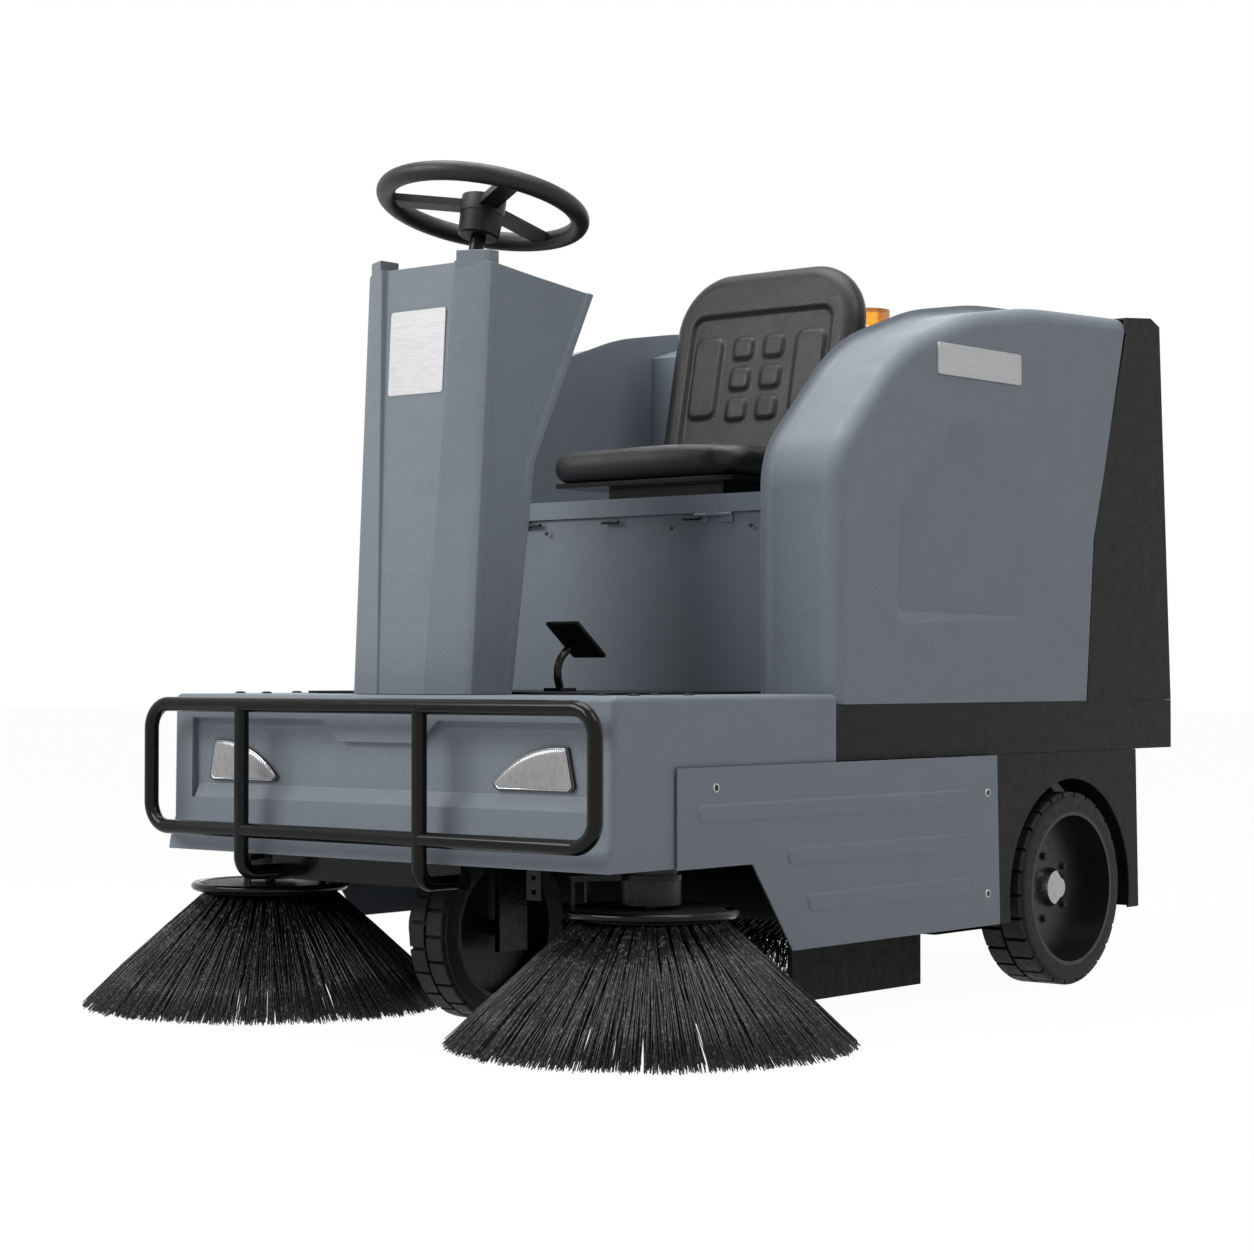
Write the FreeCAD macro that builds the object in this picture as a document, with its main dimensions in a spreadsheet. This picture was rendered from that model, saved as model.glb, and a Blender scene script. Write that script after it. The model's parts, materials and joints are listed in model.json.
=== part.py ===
import FreeCAD
import Part

import math
import os
import re

import Sketcher
from FreeCAD import Matrix, Placement, Rotation, Vector

# A compact ride-on road sweeper. Millimetres. The origin is on the ground at the middle of the
# machine, +Z is up, and the machine drives towards -Y, so its left side is +X.
# A name that ends in _x, _y or _z is a place; the other names are lengths.

SIZES = {
    # Shared walls and gaps
    "moulding": 5, "sheet": 4, "panel_sheet": 3, "seam": 2.5, "seat_gap": 0.3, "running_gap": 0.05,
    "overrun": 20, "moving_gap": 6,
    # Rear wheels
    "rear_wheel_radius": 160.5, "rear_tyre_width": 90, "rear_face_x": 441, "rear_axle_y": 493.5,
    "rear_bead_radius": 128, "rim_wall": 6, "rim_dish": 46, "rim_disc": 8, "hub_radius": 30,
    "stub_radius": 15, "hubcap_radius": 33, "hubcap_height": 22, "tyre_shoulder": 7, "lug_depth": 7,
    # Front wheel, its fork and its drive
    "front_wheel_radius": 136, "front_tyre_width": 74, "front_axle_y": -464, "front_bead_radius": 104,
    "fork_plate": 10, "fork_leg_width": 62, "crown_height": 12, "kingpin_radius": 20,
    "axle_radius": 12, "drive_radius": 58, "drive_length": 56,
    # Chassis
    "rail_x": 230, "rail_width": 40, "rail_bottom_z": 300, "rail_height": 50, "rail_front_y": -660,
    "member_width": 45, "axle_plate": 10, "axle_plate_x": 345, "axle_plate_front_y": 236,
    "axle_plate_rear_y": 706, "axle_plate_bottom_z": 112, "bumper_beam_y": -665, "bumper_beam_width": 20,
    "bumper_beam_bottom_z": 211, "tie_plate_x": 272, "tie_plate_width": 27, "tie_plate_bottom_z": 204,
    "tie_hole_radius": 4.5, "tie_hole_spacing": 20, "tie_hole_edge": 12,
    # Front shell and deck
    "deck_z": 488, "deck_front_y": -695.5, "deck_rear_y": -186, "deck_half": 444.5, "nose_half": 436.5,
    "face_low_z": 300, "lip_y": -706, "lip_top_z": 274, "shell_bottom_z": 250, "shell_edge": 9,
    "recess_half": 402, "recess_top_z": 452, "recess_low_z": 330, "recess_depth": 10, "ledge_rise": 16,
    "notch_half": 118, "notch_low_half": 80, "notch_low_z": 420, "mat_height": 4,
    # Headlights
    "lamp_inner_x": 218, "lamp_outer_x": 370, "lamp_low_z": 357, "lamp_top_z": 418, "lamp_depth": 22,
    "lamp_proud": 5, "lamp_gap": 1.5,
    # Front guard
    "guard_y": -738.3, "guard_half": 448, "guard_top_z": 472.5, "guard_low_z": 286, "guard_tube": 11,
    "guard_bend": 38, "guard_bar_right_x": -245, "guard_bar_left_x": 123, "guard_foot_z": 222,
    "guard_foot_bend": 26,
    # Steering column and wheel
    "column_base_half": 120, "column_top_half": 125, "column_front_base_y": -654,
    "column_front_top_y": -617, "column_top_z": 1119, "column_rear_top_z": 1092,
    "column_rear_top_y": -375, "column_knee_high_z": 828, "column_knee_high_y": -496,
    "column_knee_low_z": 750, "column_knee_low_y": -505, "column_rear_base_y": -541,
    "column_bevel": 9, "column_setback": 26, "column_panel_base_half": 39, "column_panel_top_half": 74,
    "column_panel_depth": 6, "ear_x": 100, "ear_width": 44, "ear_height": 14, "ear_depth": 26,
    "steer_y": -475.5, "steer_z": 1222, "steer_tilt": 13, "steer_radius": 148, "steer_rim": 14.5,
    "steer_hub_radius": 34, "steer_hub_height": 26, "steer_shaft_radius": 11.5, "steer_shaft_length": 150,
    "spoke_width": 30, "spoke_thickness": 12, "collar_radius": 26, "collar_height": 16,
    # Pedals
    "pedal_x": 150, "pedal_y": -434, "pedal_z": 569, "pedal_width": 62, "pedal_length": 80,
    "pedal_plate": 5, "pedal_tilt": 38, "pedal_arm": 12, "pedal_base": 34, "pedal_foot_y": -470,
    # Body behind the deck
    "body_half": 439.3, "cockpit_half": 310, "body_front_y": -179, "belt_top_z": 472.5,
    "belt_low_z": 389, "tail_y": 833.2, "skirt_front_y": 180, "skirt_low_z": 116.5,
    "skirt_rear_top_y": 710, "skirt_rear_low_y": 718, "arch_radius": 191, "arch_z": 152,
    "shell_knee_z": 848, "shell_rise_y": 2.5, "shell_rise_z": 1028, "shell_bow_y": 210.5,
    "shell_bow_z": 1096, "shell_top_y": 391.5, "shell_top_z": 1123, "seam_top_y": 681,
    "seam_top_z": 1133, "seam_bend_y": 572.5, "seam_bend_z": 747, "seam_low_y": 546.5,
    "shell_outer_edge": 34, "shell_inner_edge": 16,
    "hood_top_y": 766, "hood_top_z": 1140, "hood_corner_y": 797, "hood_corner_z": 1127.5,
    "hood_edge": 22, "roof_drop": 12, "cockpit_back_y": 304,
    "hinge_pin": 1.5, "hinge_knuckle": 3, "hinge_length": 24, "hinge_leaf": 2, "hood_hinge_x": 260,
    "lid_hinge_x": 210,
    # Steel side panel
    "panel_x": 449.7, "panel_front_y": -566.5, "panel_rear_top_y": 248, "panel_rear_low_y": 256,
    "panel_top_z": 388, "panel_low_z": 118, "panel_heel_y": -300, "panel_step_y": -395.5,
    "panel_step_z": 248, "panel_rib_height": 27.5, "panel_rib_proud": 2.5, "panel_rib_rear_y": 165,
    "panel_rib_pitch": 69, "panel_rib_top_z": 323, "panel_rib_front_y": -523.5,
    "panel_rib_mid_y": -314.5, "panel_rib_low_y": -266, "stud_radius": 7, "stud_rear_y": 220,
    "stud_high_z": 329, "stud_low_z": 169, "stud_front_y": -480.5, "stud_front_z": 359,
    # Seat and its box
    "box_front_y": -176, "lid_front_y": -182, "lid_low_z": 767, "lid_top_z": 795, "lid_half": 302,
    "pan_half": 185, "pan_front_y": -100, "pan_rear_y": 150, "pan_height": 8, "riser_half": 120,
    "riser_front_y": -40, "riser_rear_y": 130, "cushion_half": 204, "cushion_front_y": -118,
    "cushion_rear_y": 152, "cushion_low_z": 832, "cushion_height": 54, "cushion_round": 24,
    "back_half": 196, "back_foot_y": 162, "back_foot_z": 850, "back_length": 362, "back_thickness": 58,
    "back_recline": 12, "back_corner": 110, "back_round": 20, "back_stay": 6,
    "stay_drop": 12, "stay_rise": 140,
    # Beacon
    "beacon_y": 520, "beacon_radius": 48, "beacon_base_height": 14, "beacon_lens_height": 34,
    # Side brushes
    "brush_x": 387.5, "brush_y": -547.5, "brush_tip_radius": 292, "brush_root_radius": 103,
    "brush_root_z": 178, "bristle_depth": 34, "brush_disc_top_z": 192, "brush_tip_z": 1,
    "brush_shaft_radius": 8, "ring_radius": 117, "ring_tube": 6.5, "ring_z": 187, "ring_post": 10,
    "motor_plate_z": 232, "motor_plate_radius": 45, "motor_plate": 8, "gearbox_radius": 42,
    "gearbox_low_z": 198, "motor_radius": 38, "motor_height": 88, "arm_width": 30, "arm_height": 22,
    "arm_pivot_x": 296, "arm_pivot_y": -215, "arm_pivot_z": 251, "arm_pin_radius": 8,
    "arm_boss_radius": 16, "arm_boss_length": 40, "arm_washer": 5, "arm_bracket": 8,
    # Main brush and its housing
    "main_brush_y": 60, "main_brush_z": 142, "main_brush_radius": 139, "main_brush_core": 52,
    "main_brush_half": 300, "main_brush_shaft": 12, "housing_gap": 15.7, "housing_sheet": 3,
    "housing_side_x": 312, "housing_side_front_y": -128, "housing_side_rear_y": 222,
    "housing_side_low_z": 60, "flap_thickness": 5, "flap_drop": 44,
    # Hopper
    "hopper_half": 321, "hopper_front_y": 264, "hopper_rear_y": 714, "hopper_low_z": 92,
    "hopper_top_z": 325, "hopper_wall": 4, "hopper_mouth_low_z": 120, "hopper_flange_z": 304,
    "hopper_runner": 8, "hopper_side_gap": 2, "handle_half": 90, "handle_reach": 42, "handle_z": 250, "handle_tube": 8,
    # Battery
    "battery_half": 190, "battery_front_y": -120, "battery_length": 330, "battery_height": 300,
}
SIZE_NAME = re.compile(r"[a-z]\w*")

doc = FreeCAD.newDocument("RoadSweeper")
sizes = doc.addObject("Spreadsheet::Sheet", "Sizes")
for row, (alias, value) in enumerate(SIZES.items(), start=1):
    sizes.set("A%d" % row, alias)
    sizes.set("B%d" % row, str(value))
    sizes.setAlias("B%d" % row, alias)
doc.recompute()

nodes = []


def bound(expression):
    """The expression with each size read from the sheet."""
    def from_sheet(word):
        return "Sizes." + word.group() if word.group() in SIZES else word.group()
    return SIZE_NAME.sub(from_sheet, str(expression))


def hold(item, prop, expression):
    """Bind one property to an expression in named sizes."""
    item.setExpression(prop, bound(expression))


def place(item, at=("0", "0", "0"), turn=None, axis=Vector(0, 0, 1)):
    """Bind where an object stands, after a fixed turn about an axis."""
    if turn is not None:
        item.Placement = Placement(Vector(), Rotation(axis, turn))
    for letter, expression in zip("xyz", at):
        hold(item, "Placement.Base." + letter, expression)


def keep(item, label):
    """Name a finished sub-part and list it for export."""
    item.Label = label
    nodes.append(item)
    return item


def primitive(kind, name, dims, at=("0", "0", "0"), turn=None, axis=Vector(0, 0, 1)):
    """A Part primitive with its sizes and its place bound to the sheet."""
    item = doc.addObject("Part::" + kind, name)
    for prop, expression in dims.items():
        hold(item, prop, expression)
    place(item, at, turn, axis)
    return item


def block(name, low, high):
    """A box between two corners given in named sizes."""
    dims = {prop: "(%s) - (%s)" % (b, a) for prop, a, b in zip(("Length", "Width", "Height"), low, high)}
    return primitive("Box", name, dims, low)


def rod(name, radius, length, at, along="z"):
    """A cylinder that starts at a place and runs along +X, +Y or +Z."""
    turns = {"x": (90, Vector(0, 1, 0)), "y": (-90, Vector(1, 0, 0)), "z": (None, Vector(0, 0, 1))}
    turn, axis = turns[along]
    return primitive("Cylinder", name, {"Radius": radius, "Height": length}, at, turn, axis)


def fuse(name, pieces):
    joined = doc.addObject("Part::MultiFuse", name)
    joined.Shapes = pieces
    joined.Refine = True
    return joined


def cut(name, base, tools):
    """The base with one or more tools taken out."""
    item = doc.addObject("Part::Cut", name)
    item.Base = base
    item.Tool = tools[0] if len(tools) == 1 else fuse(name + "Tools", tools)
    item.Refine = True
    return item


def new_body(name, at=("0", "0", "0"), turn=None, axis=Vector(0, 0, 1)):
    body = doc.addObject("PartDesign::Body", name)
    place(body, at, turn, axis)
    return body


def outline(body, name, plane, corners):
    """A closed outline on one of the body's origin planes; two distances hold each corner."""
    sketch = body.newObject("Sketcher::SketchObject", name)
    features = body.Origin.OriginFeatures
    sketch.AttachmentSupport = ([item for item in features if item.Role == plane][0], "")
    sketch.MapMode = "FlatFace"
    count = len(corners)
    spots = [Vector(math.cos(2 * math.pi * k / count), math.sin(2 * math.pi * k / count), 0)
             for k in range(count)]
    for index, spot in enumerate(spots):
        sketch.addGeometry(Part.LineSegment(spot, spots[(index + 1) % count]), False)
    for index in range(count):
        sketch.addConstraint(Sketcher.Constraint("Coincident", index, 2, (index + 1) % count, 1))
    for index, (across, up) in enumerate(corners):
        for kind, expression, value in (("DistanceX", across, spots[index].x), ("DistanceY", up, spots[index].y)):
            number = sketch.addConstraint(Sketcher.Constraint(kind, -1, 1, index, 1, value))
            sketch.setExpression("Constraints[%d]" % number, bound(expression))
    return sketch


def circle(body, name, plane, centre, radius):
    """A circle on one of the body's origin planes."""
    sketch = body.newObject("Sketcher::SketchObject", name)
    features = body.Origin.OriginFeatures
    sketch.AttachmentSupport = ([item for item in features if item.Role == plane][0], "")
    sketch.MapMode = "FlatFace"
    sketch.addGeometry(Part.Circle(Vector(1, 1, 0), Vector(0, 0, 1), 1), False)
    held = [("DistanceX", centre[0]), ("DistanceY", centre[1])]
    for kind, expression in held:
        number = sketch.addConstraint(Sketcher.Constraint(kind, -1, 1, 0, 3, 1))
        sketch.setExpression("Constraints[%d]" % number, bound(expression))
    number = sketch.addConstraint(Sketcher.Constraint("Radius", 0, 1))
    sketch.setExpression("Constraints[%d]" % number, bound(radius))
    return sketch


def pad(body, sketch, length, midplane=False, reverse=False):
    feature = body.newObject("PartDesign::Pad", sketch.Name + "Pad")
    feature.Profile = sketch
    hold(feature, "Length", length)
    feature.Midplane = midplane
    feature.Reversed = reverse
    return feature


def pocket(body, sketch, length, midplane=False, reverse=False):
    """A pocket, which has to take some of the body away."""
    doc.recompute()
    before = body.Shape.Volume
    feature = body.newObject("PartDesign::Pocket", sketch.Name + "Pocket")
    feature.Profile = sketch
    hold(feature, "Length", length)
    feature.Midplane = midplane
    feature.Reversed = reverse
    doc.recompute()
    if body.Shape.Volume > before * (1 - 1e-9):
        raise RuntimeError(sketch.Name + " cuts nothing")
    return feature


def revolve(body, sketch, axis):
    feature = body.newObject("PartDesign::Revolution", sketch.Name + "Turn")
    feature.Profile = sketch
    feature.ReferenceAxis = (sketch, [axis])
    feature.Angle = 360
    return feature


def round_edges(body, base, radius, wanted):
    """Fillet the edges of a feature that pass a test."""
    doc.recompute()
    names = ["Edge%d" % (k + 1) for k, edge in enumerate(base.Shape.Edges) if wanted(edge)]
    feature = body.newObject("PartDesign::Fillet", base.Name + "Round")
    feature.Base = (base, names)
    hold(feature, "Radius", radius)
    return feature


def from_shape(label, shape):
    """A sub-part whose shape is worked out here from the sheet's sizes."""
    item = doc.addObject("Part::Feature", label)
    item.Shape = shape
    return keep(item, label)


def sides():
    """The machine's left side at +X, then its right side at -X."""
    return (("left", 1), ("right", -1))


def mirrored(shape):
    """The same shape on the other side of the centre plane."""
    flip = Matrix()
    flip.A11 = -1
    return shape.transformGeometry(flip)


def bent_tube(corners, bends, radius):
    """A round tube through the corners, with an arc of a given radius at each inner corner."""
    edges = []
    start = corners[0]
    for before, corner, after, bend in zip(corners, corners[1:], corners[2:], bends):
        enter = (corner - before).normalize()
        leave = (after - corner).normalize()
        half_turn = enter.getAngle(leave) / 2
        reach = bend * math.tan(half_turn)
        first = corner - enter * reach
        last = corner + leave * reach
        middle = corner + (leave - enter).normalize() * bend * (1 / math.cos(half_turn) - 1)
        edges.append(Part.LineSegment(start, first).toShape())
        edges.append(Part.Arc(first, middle, last).toShape())
        start = last
    edges.append(Part.LineSegment(start, corners[-1]).toShape())
    path = Part.Wire(edges)
    ring = Part.Wire(Part.Circle(corners[0], corners[1] - corners[0], radius).toShape())
    return path.makePipeShell([ring], True, True)


def knuckle(name, x, y, z):
    """One hinge knuckle along X, centred on a place."""
    return rod(name, "hinge_knuckle", "hinge_length", ("%s - hinge_length / 2" % x, y, z), "x")


def hinge(name, x, y, z, leaf, post):
    """A small butt hinge: a moving knuckle between two fixed ones, each on a leaf that a function makes."""
    moving = []
    fixed = []
    for side, sign in sides():
        centre = "%d * %s" % (sign, x)
        bore = rod("%sBore_%s" % (name, side), "hinge_pin + running_gap", "2 * hinge_length",
                   (centre + " - hinge_length", y, z), "x")
        middle = fuse("%sMiddle_%s" % (name, side), [knuckle("%sKnuckle_%s" % (name, side), centre, y, z),
                                                     leaf("%sLeaf_%s" % (name, side), centre)])
        moving.append(cut("%sMoving_%s" % (name, side), middle, [bore]))
        for end, step in (("A", 1), ("B", -1)):
            spot = "%s + %d * (hinge_length + seat_gap)" % (centre, step)
            fixed.append(knuckle("%sEnd%s_%s" % (name, end, side), spot, y, z))
            fixed.append(post("%sPost%s_%s" % (name, end, side), spot))
        fixed.append(rod("%sPin_%s" % (name, side), "hinge_pin", "3 * hinge_length",
                         (centre + " - 1.5 * hinge_length", y, z), "x"))
    return moving, fixed


# Chassis

def chassis():
    """Two rails with cross members, the kingpin block, the axle plates and the small brackets."""
    rail_top = "(rail_bottom_z + rail_height)"
    outer = "(rail_x + rail_width)"
    plate_in = "(axle_plate_x - axle_plate)"
    pieces = []
    for side, sign in sides():
        def span(low, high):
            return (low, high) if sign > 0 else ("-(%s)" % high, "-(%s)" % low)
        x0, x1 = span("rail_x", outer)
        pieces.append(block("Rail_" + side, (x0, "rail_front_y", "rail_bottom_z"),
                            (x1, "axle_plate_front_y + member_width", rail_top)))
        x0, x1 = span(plate_in, "axle_plate_x")
        pieces.append(block("AxlePlate_" + side, (x0, "axle_plate_front_y", "axle_plate_bottom_z"),
                            (x1, "axle_plate_rear_y", "belt_low_z - seat_gap")))
        x0, x1 = span("axle_plate_x - axle_plate / 2", "rear_face_x - rim_dish - rim_disc - seat_gap")
        pieces.append(rod("Stub_" + side, "stub_radius", "(%s) - (%s)" % (x1, x0),
                          (x0, "rear_axle_y", "rear_wheel_radius"), "x"))
        x0, x1 = span("hopper_half + moving_gap", plate_in)
        pieces.append(block("Runner_" + side, (x0, "hopper_front_y", "hopper_flange_z - hopper_runner"),
                            (x1, "axle_plate_rear_y", "hopper_flange_z - seat_gap")))
        for name, front in (("Front", "axle_plate_front_y"), ("Rear", "axle_plate_rear_y - member_width")):
            x0, x1 = span(plate_in, "body_half - sheet - seat_gap")
            pieces.append(block("Outrigger%s_%s" % (name, side),
                                (x0, front, "belt_low_z - member_width"),
                                (x1, front + " + member_width", "belt_low_z - seat_gap")))
        x0, x1 = span("arm_pivot_x - arm_boss_length / 2 - seat_gap - arm_bracket",
                      "arm_pivot_x - arm_boss_length / 2 - seat_gap")
        pieces.append(block("ArmBracket_" + side, (x0, "arm_pivot_y - arm_width", "arm_pivot_z - arm_width"),
                            (x1, "arm_pivot_y + arm_width", rail_top)))
        x0, x1 = span("arm_pivot_x - arm_boss_length / 2 - arm_bracket", "arm_pivot_x + arm_boss_length / 2 + seat_gap")
        pieces.append(rod("ArmPin_" + side, "arm_pin_radius", "(%s) - (%s)" % (x1, x0),
                          (x0, "arm_pivot_y", "arm_pivot_z"), "x"))
        x0, x1 = span("arm_pivot_x + arm_boss_length / 2 + seat_gap",
                      "arm_pivot_x + arm_boss_length / 2 + seat_gap + arm_washer")
        pieces.append(rod("ArmWasher_" + side, "arm_boss_radius * 0.8", "arm_washer",
                          (x0, "arm_pivot_y", "arm_pivot_z"), "x"))
        x0, x1 = span("rail_x", outer)
        for name, front in (("Front", "rail_front_y"), ("Rear", "deck_rear_y - member_width + overrun")):
            pieces.append(block("DeckPost%s_%s" % (name, side), (x0, front, rail_top),
                                (x1, front + " + member_width", "deck_z - moulding - seat_gap")))
    wide = "(body_half - sheet - seat_gap)"
    pieces.append(block("FrontMember", ("-" + outer, "rail_front_y", "rail_bottom_z"),
                        (outer, "rail_front_y + member_width", rail_top)))
    pieces.append(block("DeckMember", ("-" + wide, "deck_rear_y - member_width + overrun", "belt_low_z"),
                        (wide, "deck_rear_y + overrun", "belt_top_z - seat_gap")))
    pieces.append(block("RearMember", ("-" + plate_in, "axle_plate_front_y", "rail_bottom_z + hopper_runner * 4"),
                        (plate_in, "axle_plate_front_y + member_width", rail_top)))
    pieces.append(block("TailMember", ("-" + plate_in, "axle_plate_rear_y - member_width", "belt_low_z - member_width"),
                        (plate_in, "axle_plate_rear_y", "belt_low_z - seat_gap")))
    pieces.append(block("KingpinBlock", ("-rail_x", "front_axle_y - member_width", "rail_bottom_z"),
                        ("rail_x", "front_axle_y + member_width", rail_top)))
    pieces.append(block("BumperBeam", ("guard_bar_right_x - guard_tube", "bumper_beam_y", "bumper_beam_bottom_z"),
                        ("guard_bar_left_x + guard_tube", "bumper_beam_y + bumper_beam_width", rail_top)))
    pieces.append(block("TiePlate", ("tie_plate_x - tie_plate_width / 2", "rail_front_y - sheet", "tie_plate_bottom_z"),
                        ("tie_plate_x + tie_plate_width / 2", "rail_front_y", rail_top)))
    pieces.append(block("TieArm", ("rail_x", "rail_front_y", "rail_bottom_z"),
                        ("tie_plate_x + tie_plate_width / 2", "rail_front_y + member_width", rail_top)))
    pieces.append(block("BatteryTray", ("-rail_x", "battery_front_y", rail_top + " - sheet"),
                        ("rail_x", "battery_front_y + battery_length", rail_top)))
    frame = fuse("FrameSolid", pieces)
    holes = [rod("KingpinBore", "kingpin_radius + running_gap", "rail_height + 2 * overrun",
                 ("0", "front_axle_y", "rail_bottom_z - overrun"))]
    for k in range(2):
        holes.append(rod("TieHole%d" % k, "tie_hole_radius", "sheet + 2 * overrun",
                         ("tie_plate_x", "rail_front_y - sheet - overrun",
                          "tie_plate_bottom_z + tie_hole_edge + %d * tie_hole_spacing" % k), "y"))
    keep(cut("Chassis", frame, holes), "chassis_frame")


# Front shell, deck mat and headlights

def front_shell():
    """The moulded nose and deck: one open shell with a recessed face, a lip and lamp pockets."""
    body = new_body("FrontShell")
    side = outline(body, "ShellSide", "YZ_Plane", [
        ("deck_rear_y", "deck_z"), ("deck_front_y", "deck_z"), ("deck_front_y - moulding / 2", "face_low_z"),
        ("lip_y", "lip_top_z"), ("lip_y", "shell_bottom_z"), ("deck_rear_y", "shell_bottom_z")])
    solid = pad(body, side, "2 * deck_half", midplane=True)
    edges = round_edges(body, solid, "shell_edge", lambda edge: edge.BoundBox.XLength > sizes.deck_half
                        and edge.BoundBox.ZMin > sizes.deck_z - 1 and edge.BoundBox.YMax < sizes.deck_front_y + 1)
    doc.recompute()
    edges = round_edges(body, edges, "shell_edge", lambda edge: edge.BoundBox.XLength < sizes.shell_edge
                        and abs(edge.BoundBox.XMax) > sizes.deck_half - sizes.shell_edge / 2
                        and edge.BoundBox.ZMax > sizes.lip_top_z + 1
                        and edge.BoundBox.YMin < sizes.deck_rear_y - 1
                        and (edge.BoundBox.ZMin > sizes.deck_z - 1 or edge.BoundBox.YMax < sizes.deck_front_y + 1))
    inner = outline(body, "ShellInside", "YZ_Plane", [
        ("deck_rear_y + overrun", "deck_z - moulding"), ("deck_front_y + moulding + recess_depth", "deck_z - moulding"),
        ("deck_front_y + moulding + recess_depth", "face_low_z"), ("lip_y + moulding", "lip_top_z"),
        ("lip_y + moulding", "shell_bottom_z - overrun"), ("deck_rear_y + overrun", "shell_bottom_z - overrun")])
    pocket(body, inner, "2 * (deck_half - moulding)", midplane=True)
    face = outline(body, "FaceRecess", "XZ_Plane", [
        ("-recess_half", "recess_top_z"), ("-notch_half", "recess_top_z"), ("-notch_low_half", "notch_low_z"),
        ("notch_low_half", "notch_low_z"), ("notch_half", "recess_top_z"), ("recess_half", "recess_top_z"),
        ("recess_half", "recess_low_z"), ("-recess_half", "recess_low_z")])
    pocket(body, face, "2 * (recess_depth - deck_front_y)", midplane=True)
    back = outline(body, "RecessFloor", "YZ_Plane", [
        ("deck_front_y + recess_depth", "recess_top_z"), ("deck_front_y + recess_depth + moulding", "recess_top_z"),
        ("deck_front_y + recess_depth + moulding", "recess_low_z"), ("deck_front_y + recess_depth", "recess_low_z")])
    pad(body, back, "2 * recess_half", midplane=True)
    keep(body, "front_shell")


def foot_mat():
    """Ribbed mat on the deck, in front of the seat box and around the column."""
    body = new_body("FootMat", ("0", "0", "deck_z + seat_gap"))
    area = outline(body, "MatArea", "XY_Plane", [
        ("-cockpit_half", "deck_rear_y - moulding"), ("-cockpit_half", "column_rear_base_y"),
        ("-column_base_half - overrun", "column_rear_base_y"), ("-column_base_half - overrun", "column_rear_base_y + overrun"),
        ("column_base_half + overrun", "column_rear_base_y + overrun"), ("column_base_half + overrun", "column_rear_base_y"),
        ("cockpit_half", "column_rear_base_y"), ("cockpit_half", "deck_rear_y - moulding")])
    pad(body, area, "mat_height")
    keep(body, "foot_mat")


def lamp_face(grow):
    """The headlight's outline on the left side, grown by a gap: flat base, tall outer end, curved top."""
    inner = sizes.lamp_inner_x - grow
    outer = sizes.lamp_outer_x + grow
    low = sizes.lamp_low_z - grow
    top = sizes.lamp_top_z + grow
    width = outer - inner
    height = top - low
    tip = Vector(inner, 0, low + height * 0.12)
    bow = Vector(inner + width * 0.42, 0, low + height * 0.82)
    shoulder = Vector(outer - width * 0.08, 0, top)
    heel = Vector(outer, 0, low + height * 0.1)
    base = Vector(inner + width * 0.05, 0, low)
    toe = Vector(outer - width * 0.04, 0, low)
    edges = [Part.Arc(tip, bow, shoulder).toShape(), Part.LineSegment(shoulder, heel).toShape(),
             Part.LineSegment(heel, toe).toShape(), Part.LineSegment(toe, base).toShape(),
             Part.LineSegment(base, tip).toShape()]
    return Part.Face(Part.Wire(edges))


def headlights():
    """A clear lamp in a pocket of the nose on each side."""
    face = lamp_face(0)
    face.translate(Vector(0, sizes.deck_front_y + sizes.recess_depth - sizes.lamp_proud, 0))
    lamp = face.extrude(Vector(0, sizes.lamp_proud - sizes.seat_gap, 0))
    for side, sign in sides():
        from_shape("headlight_" + side, lamp if sign > 0 else mirrored(lamp))


def guard():
    """Bent tube guard: a rounded rectangle with two bars that turn back under the bumper."""
    y = sizes.guard_y
    half = sizes.guard_half
    top = sizes.guard_top_z
    low = sizes.guard_low_z
    corners = [Vector(0, y, top), Vector(half, y, top), Vector(half, y, low), Vector(-half, y, low),
               Vector(-half, y, top), Vector(0, y, top)]
    shape = bent_tube(corners, [sizes.guard_bend] * 4, sizes.guard_tube)
    for x in (sizes.guard_bar_right_x, sizes.guard_bar_left_x):
        run = [Vector(x, y, top), Vector(x, y, sizes.guard_foot_z),
               Vector(x, sizes.bumper_beam_y - sizes.seat_gap, sizes.guard_foot_z)]
        shape = shape.fuse(bent_tube(run, [sizes.guard_foot_bend], sizes.guard_tube))
    from_shape("guard", shape.removeSplitter())


# Steering column, steering wheel and pedals

def column_section(name, body, height, front, rear, half):
    """One level of the column: bevelled front corners and a front face between them."""
    side = "(%s)" % half
    corners = [("-" + side + " + column_bevel", front), (side + " - column_bevel", front),
               (side, front + " + column_setback"), (side, rear), ("-" + side, rear),
               ("-" + side, front + " + column_setback")]
    sketch = outline(body, name, "XY_Plane", corners)
    hold(sketch, "AttachmentOffset.Base.z", height)
    return sketch


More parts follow.
